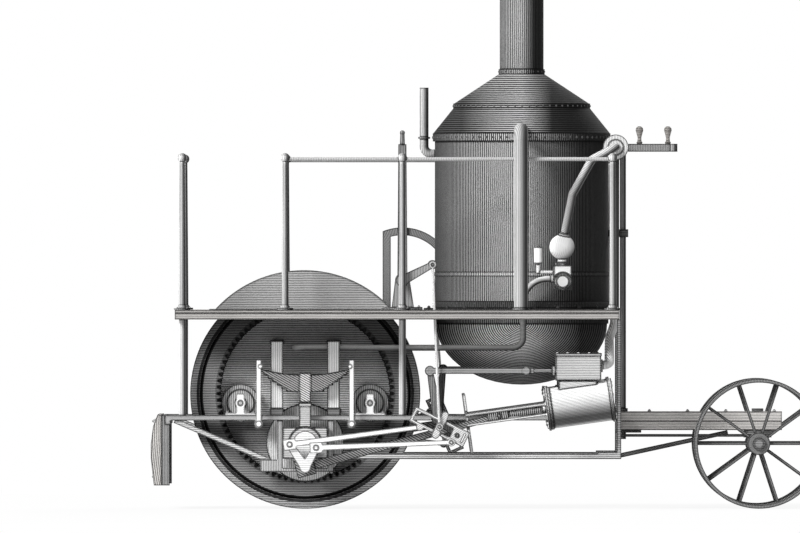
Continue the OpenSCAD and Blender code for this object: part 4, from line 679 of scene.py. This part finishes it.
def flat_disc(name, radius, z):
    """Flat round sheet at the height z."""
    mesh = bpy.data.meshes.new(name)
    turns = [2 * math.pi * i / FLOOR_SIDES for i in range(FLOOR_SIDES)]
    ring = [(radius * math.cos(a), radius * math.sin(a), z) for a in turns]
    mesh.from_pydata(ring, [], [tuple(range(FLOOR_SIDES))])
    obj = bpy.data.objects.new(name, mesh)
    bpy.context.collection.objects.link(obj)
    return obj


def floor_material():
    """Pale floor that the camera and mirrors see near white, still darker in the shade."""
    n = Nodes("studio_floor")
    diffuse = n.add("ShaderNodeBsdfDiffuse")
    diffuse.inputs["Color"].default_value = (0.8, 0.8, 0.8, 1)
    glow = n.add("ShaderNodeEmission")
    glow.inputs["Color"].default_value = (1, 1, 1, 1)
    path = n.add("ShaderNodeLightPath")
    seen = n.math("MAXIMUM", path.outputs["Is Camera Ray"], path.outputs["Is Glossy Ray"])
    seen = n.math("MAXIMUM", seen, path.outputs["Is Transmission Ray"])
    share = n.math("MULTIPLY", seen, FLOOR_WHITE)
    mixed = n.add("ShaderNodeMixShader")
    n.join(share, mixed.inputs[0])
    n.join(diffuse.outputs[0], mixed.inputs[1])
    n.join(glow.outputs[0], mixed.inputs[2])
    out = n.add("ShaderNodeOutputMaterial")
    n.join(mixed.outputs[0], out.inputs["Surface"])
    return n.material


floor = flat_disc("studio_floor", FLOOR_RADIUS, FLOOR_Z)
floor.data.materials.append(floor_material())

# White where it is seen, straight on or in gloss and glass, and soft light elsewhere
world = bpy.data.worlds.new("studio")
bpy.context.scene.world = world
world.use_nodes = True
tree = world.node_tree
tree.nodes.clear()
path = tree.nodes.new("ShaderNodeLightPath")
passed = tree.nodes.new("ShaderNodeMath")
passed.operation = "MAXIMUM"
tree.links.new(path.outputs["Is Camera Ray"], passed.inputs[0])
tree.links.new(path.outputs["Is Transmission Ray"], passed.inputs[1])
seen = tree.nodes.new("ShaderNodeMath")
seen.operation = "MAXIMUM"
tree.links.new(passed.outputs[0], seen.inputs[0])
tree.links.new(path.outputs["Is Glossy Ray"], seen.inputs[1])
strength = tree.nodes.new("ShaderNodeMapRange")
strength.inputs["To Min"].default_value = WORLD_LIGHT
strength.inputs["To Max"].default_value = 1.0
tree.links.new(seen.outputs[0], strength.inputs["Value"])
background = tree.nodes.new("ShaderNodeBackground")
background.inputs["Color"].default_value = (1, 1, 1, 1)
tree.links.new(strength.outputs[0], background.inputs["Strength"])
output = tree.nodes.new("ShaderNodeOutputWorld")
tree.links.new(background.outputs[0], output.inputs["Surface"])


def sun(name, towards, energy, angle):
    """Lamp that shines from the direction given, as wide as angle in degrees."""
    lamp = bpy.data.lights.new(name, "SUN")
    lamp.energy = energy
    lamp.angle = math.radians(angle)
    obj = bpy.data.objects.new(name, lamp)
    obj.rotation_euler = Vector(towards).to_track_quat("Z", "Y").to_euler()
    bpy.context.collection.objects.link(obj)


SUN_ANGLE = 24
sun("key", (-0.60, -0.56, 0.57), 3.9, SUN_ANGLE)
sun("back", (0.35, 0.80, 0.48), 1.3, SUN_ANGLE)

# The photograph's frame is 6.24 m wide at the engine's near side
LENS = 1050
SENSOR = 36
VIEW_WIDTH = 6.24
FAR_LIMIT = 1000
AIM = Vector((-0.684, -1.28, 1.8945))
camera_data = bpy.data.cameras.new("camera")
camera_data.lens = LENS
camera_data.sensor_width = SENSOR
camera_data.clip_end = FAR_LIMIT
camera = bpy.data.objects.new("camera", camera_data)
camera.location = AIM - Vector((0, VIEW_WIDTH * LENS / SENSOR, 0))
camera.rotation_euler = (math.pi / 2, 0, 0)
bpy.context.collection.objects.link(camera)
bpy.context.scene.camera = camera
bpy.context.scene.view_settings.view_transform = "Standard"
